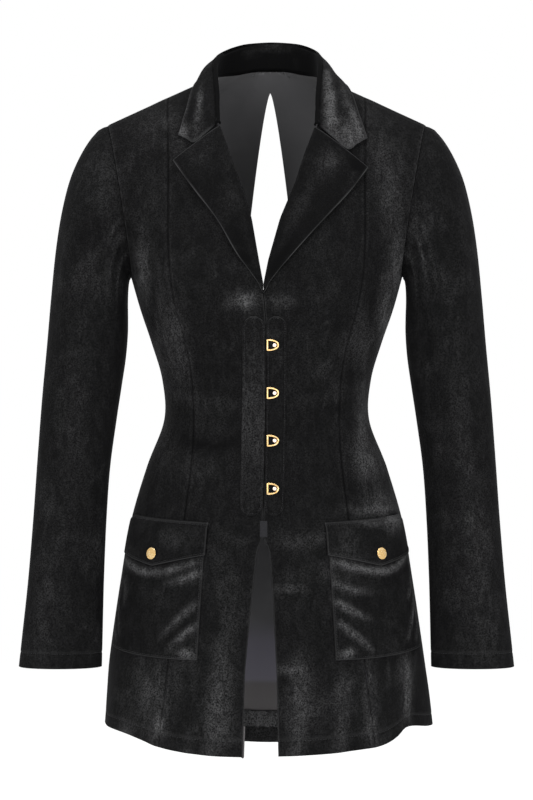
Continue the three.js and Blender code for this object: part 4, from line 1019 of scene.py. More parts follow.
def sleeveNormal(side, ring, angle):
    last = len(sleeveRings)
    around = sleevePoint(side, ring, angle + 3) - sleevePoint(side, ring, angle - 3)
    below, above = np.minimum(ring + 0.12, last), np.maximum(ring - 0.12, 0.0)
    return unit(np.cross(around, sleevePoint(side, below, angle) - sleevePoint(side, above, angle))) * side


def makeSleeve(side):
    name = sideNames[side]
    last = len(sleeveRings)
    perMm = 1 / cuffCut["lastSpan"]
    angles = np.linspace(0, 360, 89)
    rings = list(np.linspace(0, 1, 7)[:-1])
    for i in range(1, last):
        rings += list(i + np.arange(0, 1, 1 / max(4, round((sleeveRings[i, 1] - sleeveRings[i - 1, 1]) / -4.4))))
    rings = [ring for ring in rings if ring < last - cuffCut["turn"] * perMm]
    ring, angle = np.meshgrid([*rings, *(last - cuffHeights * perMm)], angles, indexing="ij")
    up = (last - ring) / perMm
    onCuff = smooth((30 - up) / 4)
    dip = -1.1 * bell(ring * 12, 2.4) - cuffCut["stitchDip"] * bell(up - cuffCut["stitchUp"], 1.3) * onCuff
    # the underarm seam runs down the inside of the sleeve
    dip = dip - cuffCut["seamDip"] * bell(angle - cuffCut["seamAngle"], 2.2)
    outer = sleevePoint(side, ring, angle) + sleeveNormal(side, ring, angle) * dip[..., None]
    inside = []
    for rise, out in cuffTurn:
        at = np.full((1, len(angles)), last - rise * perMm)
        inside.append(sleevePoint(side, at, angles[None, :]) + sleeveNormal(side, at, angles[None, :]) * out)
    inside = np.concatenate(inside)
    # the seam allowance lies inside the body's edge
    allowance = np.stack([sleeveSeam(side, angles, out) for out in (-2.7, -2.5, -1.7)])
    allowance[0, :, 0] -= side * 3
    dark = np.zeros(allowance.shape[:2])
    # painted sheen and shade where the pile is brushed, and painted sheen on the cuff's turn-up
    light = np.concatenate([dark, sheenPatchesAt(sleeveSheenPatches[side], ring, angle), np.full(inside.shape[:2], 0.15)])
    # painted highlight: a faint light line just above the cuff's stitches
    pressHighlight = 0.08 * bell(up - cuffCut["stitchUp"] - 1.6, 1.1) * onCuff
    pressHighlight = np.concatenate([dark, pressHighlight, np.zeros(inside.shape[:2])])
    surface = (np.concatenate([allowance, outer, inside]), light, pressHighlight)
    sewOn(side, f"sleeve_{name}_cloth", f"sleeve_{name}", surface)


for side in (-1, 1):
    makeSleeve(side)
print("sleeves made")

# Collar and lapels

# fold line and leaf edge from the centre back to the gorge; the front ones lie on the front
collarStations = {
    -1: np.array([(-2, 64, 60, -2, 82, 14), (27, 56, 57, 34, 76, 12), (48, 33, 47, 59, 46, 14.5),
                  (57.5, 4, 33, 73.5, 5, 10.5), (57.5, -17, 14, 84, np.nan, -6), (55.5, -36, -11, 92, np.nan, -35),
                  (54, -56, -46.5, 100, np.nan, -62)]),
    1: np.array([(2, 64, 60, 2, 82, 14), (31, 56, 57, 38, 76, 12), (51.5, 33, 47, 63, 46, 14.5),
                 (60, 4, 33, 81, 5, 6.5), (60, -17, 14, 94, np.nan, -6), (58, -36, -11, 104.5, np.nan, -35),
                 (56.5, -57.5, -48, 114.5, np.nan, -65.5)]),
}
notch = {-1: (81.5, -71.4), 1: (91, -79.6)}  # where the collar meets the lapel's edge
collar = {"steps": 22, "foldRadius": 2.6, "foldDrop": 3, "bulge": 4, "edgeLift": 2.2, "wall": 2, "gorgeUp": 3}
lapels = {  # height on the roll line, then x and z of the outer edge
    -1: np.array([(-233, 10.5, -230), (-222, 19.5, -218), (-200, 35, -197), (-156, 56, -160), (-112, 80.5, -127),
                  (-76, 95, -107), (-51, 105.5, -92)]),
    1: np.array([(-233, 4, -230), (-222, 13.5, -218), (-200, 31, -198), (-156, 62, -163), (-112, 91, -131),
                 (-76, 105, -113), (-53, 114.5, -100)]),
}
lapel = {"wall": 1.6, "lift": 3.5, "roll": 2.6}


def neckSeam(side, t):
    # The neck seam from the centre back round to the gorge, and the panel's direction there
    if t < 0.5:
        y = backNeck["depth"] * math.cos(t * math.pi)
        v = halve(np.array([float(neckRow)]), np.array([float(topRow)]),
                  lambda row: bodyPoint("back", side, startOfBack(row), row)[:, 1] > y, 30)
        share = startOfBack(v)
        return bodyPoint("back", side, share, v)[0], bodyNormal("back", side, share, v)[0]
    start = startOfFront(side)
    below = start(np.array([topRow - 6.0]))
    gorge = rowsOfFront(side, below, lapels[side][-1, 0] + collar["gorgeUp"])
    v = topRow + (gorge - topRow) * (t * 2 - 1)
    share = start(v)
    return bodyPoint("front", side, share, v)[0], bodyNormal("front", side, share, v)[0]


def collarSection(side, t):
    out0 = seams["layGap"] + collar["edgeLift"] + collar["wall"] / 2
    stations = collarStations[side].copy()
    stations[:, [0, 3]] *= side
    for row in stations:
        if math.isnan(row[4]):
            row[3:6] = onFront(side, np.array([abs(row[3])]), np.array([row[5]]), out0)[0]
    at = t * (len(stations) - 1)
    fold = np.array([splineAt(stations[:, k], at) for k in range(3)])
    edge = np.array([splineAt(stations[:, k], at) for k in range(3, 6)])
    seamPoint, seamNormal = neckSeam(side, t)
    lean = smooth((t - 0.4) / 0.5)
    stand = unit(np.array([0, 0, 1.0]) * (1 - lean) + seamNormal * lean)
    out = edge - fold
    out[2] = 0
    out = unit(out - stand * (out @ stand))
    offPanel = unit(-out - seamNormal * (-out @ seamNormal))
    base = seamPoint + offPanel * (seams["gap"] + collar["wall"] / 2 + 0.45) - seamNormal * seams["cadWall"] / 2
    centre = fold + out * collar["foldRadius"] - stand * collar["foldDrop"]
    arc = [centre + out * collar["foldRadius"] * math.cos(a) + stand * collar["foldRadius"] * math.sin(a)
           for a in np.radians([180, 120, 60, 0])]
    along = unit(edge - arc[3])
    lift = out + stand
    lift = unit(lift - along * (lift @ along))
    leaf = [arc[3] + (edge - arc[3]) * s + lift * collar["bulge"] * 4 * s * (1 - s)
            for s in (0.25, 0.5, 0.75, 1)]
    if t > 0.999:
        corner = onFront(side, np.array([notch[side][0]]), np.array([notch[side][1]]), out0)[0]
        leaf[0] = arc[3] + (corner - arc[3]) * 0.45 + lift * collar["bulge"] / 2
        leaf[1] = corner
        leaf[2] = (corner + edge) / 2
        # the end is sewn to the lapel's top
        toLapel = np.array([-0.5 * side, -0.1, -0.86])
        for k, share in ((2, 0.6), (3, 1.3)):
            arc[k] = arc[k] + toLapel * share
        leaf[0] = leaf[0] + toLapel * 2.4
    return np.array([base, (base + arc[0]) / 2, *arc, *leaf])


def refine(grid, perRow, perColumn, corners=()):
    # A finer grid through the same points; corner rows stay corners
    def along(points, per, corner):
        t = np.linspace(0, len(points) - 1, (len(points) - 1) * per + 1)
        flat = points.reshape(len(points), -1)
        i = np.clip(np.floor(t).astype(int), 0, len(points) - 2)
        f = (t - i)[:, None]
        p1, p2 = flat[i], flat[i + 1]
        first = ((i == 0) | np.isin(i, corner))[:, None]
        last = ((i + 2 >= len(points)) | np.isin(i + 1, corner))[:, None]
        p0 = np.where(first, 2 * p1 - p2, flat[np.maximum(i - 1, 0)])
        p3 = np.where(last, 2 * p2 - p1, flat[np.minimum(i + 2, len(points) - 1)])
        return hermite(p0, p1, p2, p3, f).reshape(len(t), *points.shape[1:])
    rows = along(grid, perRow, list(corners))
    return np.swapaxes(along(np.swapaxes(rows, 0, 1), perColumn, []), 0, 1)


def gridNormals(grid):
    return unit(np.cross(np.gradient(grid, axis=1), np.gradient(grid, axis=0)))


# Painted sheen where the collar's pile is brushed: share from the left end round to the right, share from the neck
# seam to the edge
collarSheenPatches = [(0.93, 0.66, 0.06, 0.05, 0.95), (0.83, 0.62, 0.04, 0.05, 0.5), (0.96, 0.92, 0.05, 0.05, 0.6),
                 (0.985, 0.8, 0.02, 0.1, 0.5), (0.9, 0.84, 0.04, 0.05, 0.25), (0.07, 0.76, 0.05, 0.05, 0.45),
                 (0.01, 0.97, 0.02, 0.08, 0.7), (0.1, 0.98, 0.05, 0.04, 0.25), (0.5, 0.2, 0.12, 0.06, 0.12),
                 (0.36, 0.75, 0.1, 0.14, 0.2), (0.66, 0.8, 0.1, 0.14, 0.2)]


def makeCollar():
    steps = np.linspace(0, 1, collar["steps"] // 2 + 1)
    left, right = ([collarSection(side, t) for t in steps] for side in (-1, 1))
    coarse = np.array([*left[::-1], *right[1:]])
    count = len(coarse)
    grid = refine(coarse, 6, 4, corners=(1, count - 2))
    normal = gridNormals(grid)
    a = np.linspace(0, 1, grid.shape[0])[:, None]
    b = np.linspace(0, 1, grid.shape[1])[None, :]
    toEdge = edgeDistance(grid, 1, True)
    ends = np.minimum(edgeDistance(grid, 0), edgeDistance(grid, 0, True))
    wave = (0.7 * np.sin(a * 41 + 1) * bell(b - 0.78, 0.2) * smooth(toEdge / 8)
            + patchSum([(0.1, 0.7, 0.03, 0.2, 0.8)], a, b))
    out = collar["wall"] / 2 + wave - 0.8 * bell(np.minimum(toEdge, ends), 0.9)
    light = patchSum(collarSheenPatches, a, b)
    # painted highlight along the collar's edges, where the pile is also pressed
    pressHighlight = 0.55 * bell(np.minimum(toEdge, ends) - 0.5, 0.7) * smooth((b - 0.55) / 0.1)
    # painted shade on the part of the collar below its fold
    light = light - 0.12 * smooth((0.46 - b) / 0.06)
    piece = gridObject("collarCloth", [grid + normal * out[..., None]], [velvet], collar["wall"],
                       [np.clip(light, -0.12, 1)], [pressHighlight])
    wear(piece, "collar")


def lapelSurface(side, rows, at, u):
    # A lapel at a fractional row of its table and a share of its width
    rollZ = splineAt(rows[:, 0], at)
    rollX = frontEdgeX(side, rollZ)
    edgeX, edgeZ = splineAt(rows[:, 1], at), splineAt(rows[:, 2], at)
    width = np.hypot(edgeX - rollX, edgeZ - rollZ)
    size = np.minimum(1, width / 30)
    lie = seams["layGap"] + lapel["lift"] * np.clip(u, 0, 1) ** 1.5 * size
    puff = lapel["roll"] * np.sin(np.pi * np.clip(u, 0, 1) ** 0.6) * size
    return rollX + (edgeX - rollX) * u, rollZ + (edgeZ - rollZ) * u, lie + lapel["wall"] + puff, width


# Painted sheen where a lapel's pile is brushed, and painted shade where how light is below zero: row, share across,
# reach in rows and shares, how light
lapelSheenPatches = {
    -1: [(5.2, 0.62, 0.9, 0.3, 0.04), (3, 0.25, 1.3, 0.2, 0.02), (1.6, 0.6, 0.8, 0.3, -0.04)],
    1: [(4.9, 0.4, 0.5, 0.16, 0.2), (5.6, 0.85, 0.4, 0.12, -0.05), (3.2, 0.3, 1, 0.15, 0.08),
        (1.6, 0.5, 0.8, 0.3, -0.04)],
}


def makeLapel(side):
    rows = lapels[side]
    foot = np.array([(-243.4, rows[0, 1] - 7.2, -243.2), (-238.5, rows[0, 1] - 3.2, -236.6)])
    rows = np.concatenate([foot, rows])
    last = len(rows) - 1
    at = np.array([0, 0.05, 0.12, *np.linspace(0.2, last - 0.1, 60), last - 0.06, last - 0.02, last])
    u = np.array([0, 0.03, 0.07, 0.12, 0.18, 0.25, 0.33, 0.41, 0.5, 0.58, 0.66, 0.74, 0.81, 0.87, 0.92,
                  0.955, 0.98, 0.992, 1])
    at2, u2 = np.meshgrid(at, u, indexing="ij")
    x, z, out, width = lapelSurface(side, rows, at2, u2)
    toEdge = (1 - u2) * width
    toGorge = (at[-1] - at2) * 24
    at2 = at2 - 2
    ripple = 0.55 * np.sin(at2 * 2.3 + side) + 0.35 * np.sin(at2 * 5.1 + 2 * u2 * side)
    ripple = ripple * np.sin(np.pi * u2)
    round0 = bell(np.minimum(toEdge, toGorge), 0.9)
    lying = onFront(side, x, z, out + ripple * np.minimum(1, width / 40) - round0)
    # round the front's edge to its inside
    roll = []
    rollZ = splineAt(rows[:, 0], at)
    rollX = frontEdgeX(side, rollZ)
    hook = smooth((rollZ + 244) / 13)
    for overX, over in ((-2.1, -1.8), (-2.25, -0.6), (-2.15, 0.6), (-1.6, 1.5), (-0.7, 2.1)):
        roll.append(onFront(side, rollX + overX * hook, rollZ, over))
    grid = np.concatenate([np.stack(roll, 1), lying], 1)
    # painted sheen and shade where the lapel's pile is brushed, a little darker all over
    light = patchSum(lapelSheenPatches[side], at2, u2, -0.03)
    # painted highlight along the lapel's edges, where the pile is also pressed
    pressHighlight = (0.5 + 0.2 * np.sin(at2 * 3.7)) * bell(np.minimum(toEdge, toGorge) - 0.45, 0.65)
    pressHighlight = np.concatenate([np.zeros((len(at), len(roll))), pressHighlight], 1)
    light = np.concatenate([np.zeros((len(at), len(roll))), light], 1)
    name = f"lapel_{sideNames[side]}"
    sewOn(side, name + "_cloth", name, (grid, light, pressHighlight), backed=False)


makeCollar()
for side in (-1, 1):
    makeLapel(side)
print("collar and lapels made")

# Pockets and flaps

pocket = {"inner": 0.28, "outer": 0.86, "topZ": -507, "bottomZ": -655, "outerRise": 9, "puff": 3.2, "wall": 1.2,
          "width": 138, "height": 148}
flap = {"inner": 0.272, "outer": 0.868, "topZ": -501, "outerRise": 7, "bottomZ": -538, "point": 0.545,
        "pointZ": -552, "step": 8, "width": 142, "height": 46}
# Folds of a slack pocket: path in shares across (from the inner edge) and up, width and height in millimetres, and
# the painted highlight on the fold
pocketFolds = {
    -1: [
        ([(0.04, 0.74), (0.4, 0.63), (0.75, 0.65), (0.97, 0.72)], 4, 3.2, 0.75),
        ([(0.03, 0.66), (0.4, 0.55), (0.8, 0.57), (0.98, 0.62)], 4, -2.2, 0),
        ([(0.02, 0.66), (0.16, 0.6), (0.32, 0.55)], 4.5, 2.6, 0.8),
        ([(0.03, 0.42), (0.14, 0.33), (0.25, 0.22), (0.34, 0.12)], 4, 2.4, 0.55),
        ([(0.02, 0.27), (0.12, 0.18), (0.24, 0.08)], 3.6, 2.6, 0.7),
        ([(0.04, 0.34), (0.15, 0.25), (0.28, 0.14)], 3.5, -1.6, 0),
        ([(0.98, 0.5), (0.92, 0.32), (0.82, 0.12)], 3.4, 2.2, 0.5),
        ([(0.97, 0.34), (0.95, 0.2), (0.88, 0.07)], 3, 1.8, 0.5),
        ([(0.99, 0.44), (0.9, 0.22)], 3, -1.4, 0),
        ([(0.05, 0.04), (0.16, 0.06)], 5, 1.2, 0.8),
        ([(0.86, 0.55), (0.8, 0.46), (0.79, 0.36)], 4, 1.2, 0.3),
    ],
    1: [
        ([(0.03, 0.74), (0.3, 0.66), (0.6, 0.64), (0.96, 0.76)], 3.8, 3.6, 0.95),
        ([(0.03, 0.66), (0.35, 0.57), (0.65, 0.56), (0.97, 0.68)], 4, -2.4, 0),
        ([(0.02, 0.58), (0.2, 0.51), (0.46, 0.48)], 4, 2.8, 0.8),
        ([(0.03, 0.44), (0.16, 0.36), (0.3, 0.29)], 4, 2.8, 0.85),
        ([(0.03, 0.5), (0.2, 0.43), (0.34, 0.36)], 3.2, -1.8, 0),
        ([(0.05, 0.28), (0.17, 0.17), (0.31, 0.05)], 3.8, 3, 0.85),
        ([(0.04, 0.35), (0.16, 0.26), (0.3, 0.17)], 3.2, -1.8, 0),
        ([(0.97, 0.62), (0.9, 0.5), (0.8, 0.4)], 3.6, 1.8, 0.45),
        ([(0.96, 0.46), (0.86, 0.3), (0.72, 0.1)], 3.4, 2, 0.5),
        ([(0.98, 0.4), (0.92, 0.2), (0.86, 0.06)], 3, 2, 0.5),
        ([(0.99, 0.5), (0.95, 0.3), (0.94, 0.12)], 2.6, -1.4, 0),
        ([(0.05, 0.04), (0.14, 0.06)], 5, 1.4, 0.9),
    ],
}


def partOf(plan, share):
    # How far across a pocket or flap a share of the front lies, from its inner edge
    return (share - plan["inner"]) / (plan["outer"] - plan["inner"])


def shareOf(plan, part):
    return plan["inner"] + (plan["outer"] - plan["inner"]) * part


def pocketTop(share):
    return pocket["topZ"] + flap["outerRise"] * partOf(pocket, share)


def pocketBottom(share):
    return pocket["bottomZ"] + pocket["outerRise"] * partOf(pocket, share) ** 2


def pocketHeight(side, share, z):
    # How far the pocket's cloth stands off the front: slack in the middle, with its folds; and the painted
    # highlight on the folds' ridges
    u = partOf(pocket, share)
    v = (z - pocketBottom(share)) / (pocketTop(share) - pocketBottom(share))
    inside = (u > 0) & (u < 1) & (v > 0) & (v < 1)
    uc, vc = np.clip(u, 0, 1), np.clip(v, 0, 1)
    x, up = uc * pocket["width"], vc * pocket["height"]
    puff = pocket["puff"] * (16 * uc * (1 - uc) * vc * (1 - vc)) ** 0.6
    lift, light = np.zeros(np.shape(u)), np.zeros(np.shape(u))
    for path, width, rise, ridgeHighlight in pocketFolds[side]:
        scaled = [(a * pocket["width"], b * pocket["height"]) for a, b in path]
        one = creaseLift([(scaled, width, 1)], x, up)
        lift += rise * one
        # painted highlight: the fan of folds is painted brightest at the pocket's inner edge
        fan = path[-1][0] < 0.5
        light += ridgeHighlight * one * (np.clip(1.15 - 2.8 * uc, 0.1, 1) if fan else 1)
    rim = smooth(np.minimum(uc, 1 - uc) * pocket["width"] / 5) * smooth(np.minimum(up, 40) / 5)
    height = puff + np.maximum(lift * rim, -puff * 0.8)
    return np.where(inside, height, 0), np.where(inside, np.clip(light, 0, 1), 0)


def onPocket(side, share, z, out):
    return skin("front", side, share, rowsOfFront(side, share, z), out)


def borderLook(distance):
    # A stitched border: round at its edge, with a groove where the stitches run
    return -0.8 * bell(distance, 0.8) - 0.5 * bell(distance - 2.6, 0.9)


borderShares = np.array([0, 0.008, 0.017, 0.027, 0.04, 0.06])


def makePocket(side):
    name = f"pocket_{sideNames[side]}"
    us = across(list(borderShares), 0.08, 34)
    vs = across(list(borderShares * 0.7), 0.06, 52)
    v2, u2 = np.meshgrid(vs, us, indexing="ij")
    share = shareOf(pocket, u2)
    z = pocketBottom(share) + (pocketTop(share) - pocketBottom(share)) * v2
    height, light = pocketHeight(side, share, z)
    distance = np.minimum(np.minimum(u2, 1 - u2) * pocket["width"], v2 * pocket["height"])
    lay = seams["layGap"] + pocket["wall"]
    grid = onPocket(side, share, z, lay + height + borderLook(distance))
    # painted highlight along the pocket's edges, where the pile is also pressed
    pressHighlight = 0.3 * bell(distance - 0.6, 0.6)
    sewOn(side, name + "_cloth", name, (grid, light * 0.9, pressHighlight), pocket["wall"])


def flapTop(share):
    return flap["topZ"] + flap["outerRise"] * partOf(flap, share)


def flapBottom(share):
    end = np.where(share < flap["point"], flap["inner"], flap["outer"])
    rise = flap["bottomZ"] - flap["pointZ"]
    return flap["pointZ"] + rise * np.abs(share - flap["point"]) / np.abs(end - flap["point"])


def flapOut(side, share, z):
    height, _ = pocketHeight(side, share, z)
    over = np.minimum(height, pocket["puff"] * 1.4) + seams["band"] + seams["layGap"] + 0.4
    return seams["layGap"] + over * smooth((flapTop(share) - z) / flap["step"])


flapFolds = {
    -1: [([(-150, -508), (-120, -514), (-92, -512)], 5, 0.7),
         ([(-146, -530), (-118, -537), (-84, -533)], 6, -0.6)],
    1: [([(150, -494), (144, -512), (130, -522)], 5, 1.1),
        ([(84, -512), (112, -507), (140, -503)], 4, 0.7),
        ([(92, -532), (112, -536), (138, -530)], 6, -0.6)],
}
# Painted sheen where a flap's pile is brushed: x, z, reach across and up, how light
flapSheenPatches = {-1: [(-104, -520, 14, 10, 0.12)],
               1: [(146, -500, 9, 12, 0.7), (124, -503, 18, 4, 0.35), (90, -520, 10, 14, 0.15)]}


def makeFlap(side):
    name = f"pocket_flap_{sideNames[side]}"
    point = partOf(flap, flap["point"])
    us = np.unique(np.concatenate([across(list(borderShares), 0.08, 34), [point]]))
    vs = np.array([0, 0.016, 0.035, 0.055, 0.08, 0.12, *np.linspace(0.17, 0.84, 15),
                   0.88, 0.92, 0.95, 0.97, 0.985, 1])
    v2, u2 = np.meshgrid(vs, us, indexing="ij")
    share = shareOf(flap, u2)
    bottom = flapBottom(share)
    z = bottom + (flapTop(share) - bottom) * v2
    distance = np.minimum(np.minimum(u2, 1 - u2) * flap["width"], v2 * flap["height"])
    fromTop = (1 - v2) * flap["height"]
    out = flapOut(side, share, z) + seams["band"] + borderLook(distance) - 0.5 * bell(fromTop - 3.4, 0.9)
    flat = onPocket(side, share, z, out)
    grid = onPocket(side, share, z, out + creaseLift(flapFolds[side], flat[..., 0], flat[..., 2]))
    light = sheenPatchesAt(flapSheenPatches[side], grid[..., 0], grid[..., 2])
    # painted highlight along the flap's edges and below its top, where the pile is also pressed
    pressHighlight = 0.35 * bell(distance - 0.6, 0.6) + 0.2 * bell(fromTop - 1.6, 0.9)
    sewOn(side, f"pocketFlap_{sideNames[side]}_cloth", name, (grid, light, pressHighlight), pocket["wall"],
          backed=False)


for side in (-1, 1):
    makePocket(side)
    makeFlap(side)
print("pockets made")

# Busk

channel = {"width": {-1: 26, 1: 23}, "topZ": -269, "bottomZ": -493, "groove": 2.2, "wall": 0.9, "lie": 0.7}
channelLength = channel["topZ"] - channel["bottomZ"]
loopPlan = {"width": 14, "height": 13.6, "wire": 2, "thickness": 1.3, "sides": 10, "square": 0.8,
            "x": 7, "z": [-300.7, -354.9, -409.1, -463.3]}
studPlan = {"radius": 2.2, "height": 2.6, "fromFlat": 9}
tackPlan = {"left": -7.5, "right": 1, "topZ": -499, "bottomZ": -517}
buskBase = seams["layGap"] + seams["band"] + seams["gap"] + 0.15


def channelWidth(side, height):
    half = channel["width"][side] / 2
    fromEnd = np.minimum(np.minimum(height, channelLength - height), half)
    return np.maximum(0.3, np.sqrt(np.maximum(0, 1 - (1 - fromEnd / half) ** 2))) * half


def makeChannel(side):
    name = sideNames[side]
    half = channel["width"][side] / 2
    ends = half * np.array([0, 0.02, 0.06, 0.13, 0.22, 0.34, 0.48, 0.64, 0.82, 1])
    straight = np.linspace(half, channelLength - half, 48)[1:-1]
    heights = np.concatenate([ends, straight, channelLength - ends[::-1]])
    h2, u2 = np.meshgrid(heights, across([0, 0.02, 0.045, 0.075, 0.11], 0.16, 11), indexing="ij")
    z = channel["bottomZ"] + h2
    wide = channelWidth(side, h2)
    x = frontEdgeX(side, z) + seams["gap"] + half + (u2 * 2 - 1) * wide
    distance = np.minimum(np.minimum(u2, 1 - u2) * 2 * wide, np.minimum(h2, channelLength - h2))
    bone = 0.9 * smooth((distance - channel["groove"]) / 3)
    out = seams["layGap"] + channel["lie"] + bone
    out = out - 0.55 * bell(distance - channel["groove"], 0.8) - 0.4 * bell(distance, 0.7)
    # painted highlight along the middle of the left channel, where the bone inside makes it stand out
    light = (0.15 if side < 0 else 0.0) * bell(z + 385, 75)
    top = smooth((h2 - channelLength + 30) / 24) * smooth((h2 - channelLength + 9) / 8)
    foot = smooth((14 - h2) / 10)
    uneven = 0.02 + 0.03 * np.sin(h2 / 7) * np.sin(h2 / 3.1)
    # painted highlight along the channel's edges, strongest at its top
    pressHighlight = (uneven + 0.25 * top + 0.05 * foot) * bell(distance - 0.5, 0.8)
    surface = (onFront(side, x, z, out), light, pressHighlight)
    sewOn(side, f"buskChannel_{name}_cloth", f"busk_channel_{name}", surface, channel["wall"])


def seatMatrix(x, z, out, side=1):
    # Place and turn of something that lies on the front, its own z facing out
    points = onFront(side, np.array([abs(x), abs(x) + 0.5, abs(x)]), np.array([z, z, z + 0.5]), out)
    right = unit((points[1] - points[0]) * side)
    normal = unit(np.cross(right, points[2] - points[0]))
    above = np.cross(normal, right)
    rows = [(right[k], above[k], normal[k], points[0][k] * mm) for k in range(3)]
    return Matrix((*rows, (0, 0, 0, 1)))


def finishMesh(name, shape, material, smoothAngle=40):
    bmesh.ops.recalc_face_normals(shape, faces=shape.faces)
    mesh = bpy.data.meshes.new(name)
    shape.to_mesh(mesh)
    shape.free()
    mesh.shade_smooth()
    mesh.set_sharp_from_angle(angle=math.radians(smoothAngle))
    mesh.materials.append(material)
    piece = bpy.data.objects.new(name, mesh)
    scene.collection.objects.link(piece)
    return piece


def squared(value, power):
    # A cosine or sine made fuller, with its sign kept
    return math.copysign(abs(value) ** power, value)


def loopOutline(count=56):
    # A tapered wire loop: straight at the strip's edge, narrowing to a round nose
    w, h = loopPlan["width"] - loopPlan["wire"], loopPlan["height"] - loopPlan["wire"]
    points = [(-w / 2, -h / 2 + h * t) for t in np.linspace(0, 1, 9)[:-1]]
    for t in np.linspace(0, 1, count - 8)[:-1]:
        a = math.pi / 2 - math.pi * t
        points.append((-w / 2 + w * max(0.0, math.cos(a)) ** 0.9, h / 2 * squared(math.sin(a), 0.85)))
    return points


def makeLoop(index, z):
    seat = seatMatrix(loopPlan["x"], z, buskBase)
    outline = loopOutline()
    shape = bmesh.new()
    rings = []
    count, sides = len(outline), loopPlan["sides"]
    for i, (x, y) in enumerate(outline):
        ax, ay = outline[i - 1]
        bx, by = outline[(i + 1) % count]
        along = Vector((bx - ax, by - ay, 0)).normalized()
        outward = Vector((along.y, -along.x, 0))
        ring = []
        for k in range(sides):
            a = 2 * math.pi * k / sides
            wide = squared(math.cos(a), loopPlan["square"]) * loopPlan["wire"] / 2
            up = squared(math.sin(a), loopPlan["square"]) * loopPlan["thickness"] / 2
            local = Vector((x, y, loopPlan["thickness"] / 2 + up)) + outward * wide
            ring.append(shape.verts.new(seat @ (local * mm)))
        rings.append(ring)
    for i in range(count):
        a, b = rings[i], rings[(i + 1) % count]
        for k in range(sides):
            shape.faces.new((a[k], a[(k + 1) % sides], b[(k + 1) % sides], b[k]))
    wear(finishMesh(f"buskLoop_{index}_wire", shape, brass, 60), f"busk_loop_{index}")


def makeTurned(name, profile, seat, sides, material):
    # A small turned part: its profile goes round the axis, closed at both poles
    shape = bmesh.new()
    rings = []
    for r, h in profile:
        turns = [2 * math.pi * k / sides for k in range(sides if r > 0 else 1)]
        rings.append([shape.verts.new(seat @ Vector((r * mm * math.cos(a), r * mm * math.sin(a), h * mm)))
                      for a in turns])
    for a, b in zip(rings, rings[1:]):
        for k in range(sides):
            after = k + 1
            ring = [a[k % len(a)], a[after % len(a)], b[after % len(b)], b[k % len(b)]]
            ring = list(dict.fromkeys(ring))
            if len(ring) > 2:
                shape.faces.new(ring)
    return finishMesh(name, shape, material, 35)


def makeStud(index, z):
    r, h = studPlan["radius"], studPlan["height"]
    profile = [(0, 0), (r * 0.62, 0), (r * 0.62, h * 0.5), (r * 0.9, h * 0.56), (r, h * 0.68), (r * 0.96, h * 0.82),
               (r * 0.8, h * 0.94), (r * 0.45, h), (0, h * 1.01)]
    seat = seatMatrix(studPlan["fromFlat"], z, buskBase)
    piece = makeTurned(f"buskStud_{index}_head", profile, seat, 28, studMetal)
    wear(piece, f"busk_stud_{index}")


snapPlan = {"share": 0.536, "z": -538, "radius": 6.8, "height": 2.2}


def makeSnap(side):
    share = np.array([snapPlan["share"]])
    z = np.array([float(snapPlan["z"])])
    out = flapOut(side, share, z)[0] + seams["band"] + 0.1
    seatPoint = onPocket(side, share, z, out)[0]
    seat = seatMatrix(abs(seatPoint[0]), snapPlan["z"], out, side)
    r, h = snapPlan["radius"], snapPlan["height"]
    profile = [(0, 0), (r * 0.94, 0), (r, 0.25), (r, 0.75), (r * 0.97, 1.0), (r * 0.9, 1.12), (r * 0.86, 1.08),
               (r * 0.8, 1.15), (r * 0.6, 1.3), (r * 0.35, 1.42), (r * 0.14, 1.48), (0, h * 0.68)]
    piece = makeTurned(f"snap_{sideNames[side]}_cap", profile, seat, 40, brass)
    wear(piece, f"snap_{sideNames[side]}")


for side in (-1, 1):
    makeChannel(side)
    makeSnap(side)
for index, z in enumerate(loopPlan["z"], 1):
    makeLoop(index, z)
    makeStud(index, z)
print("busk made")

# Stitches


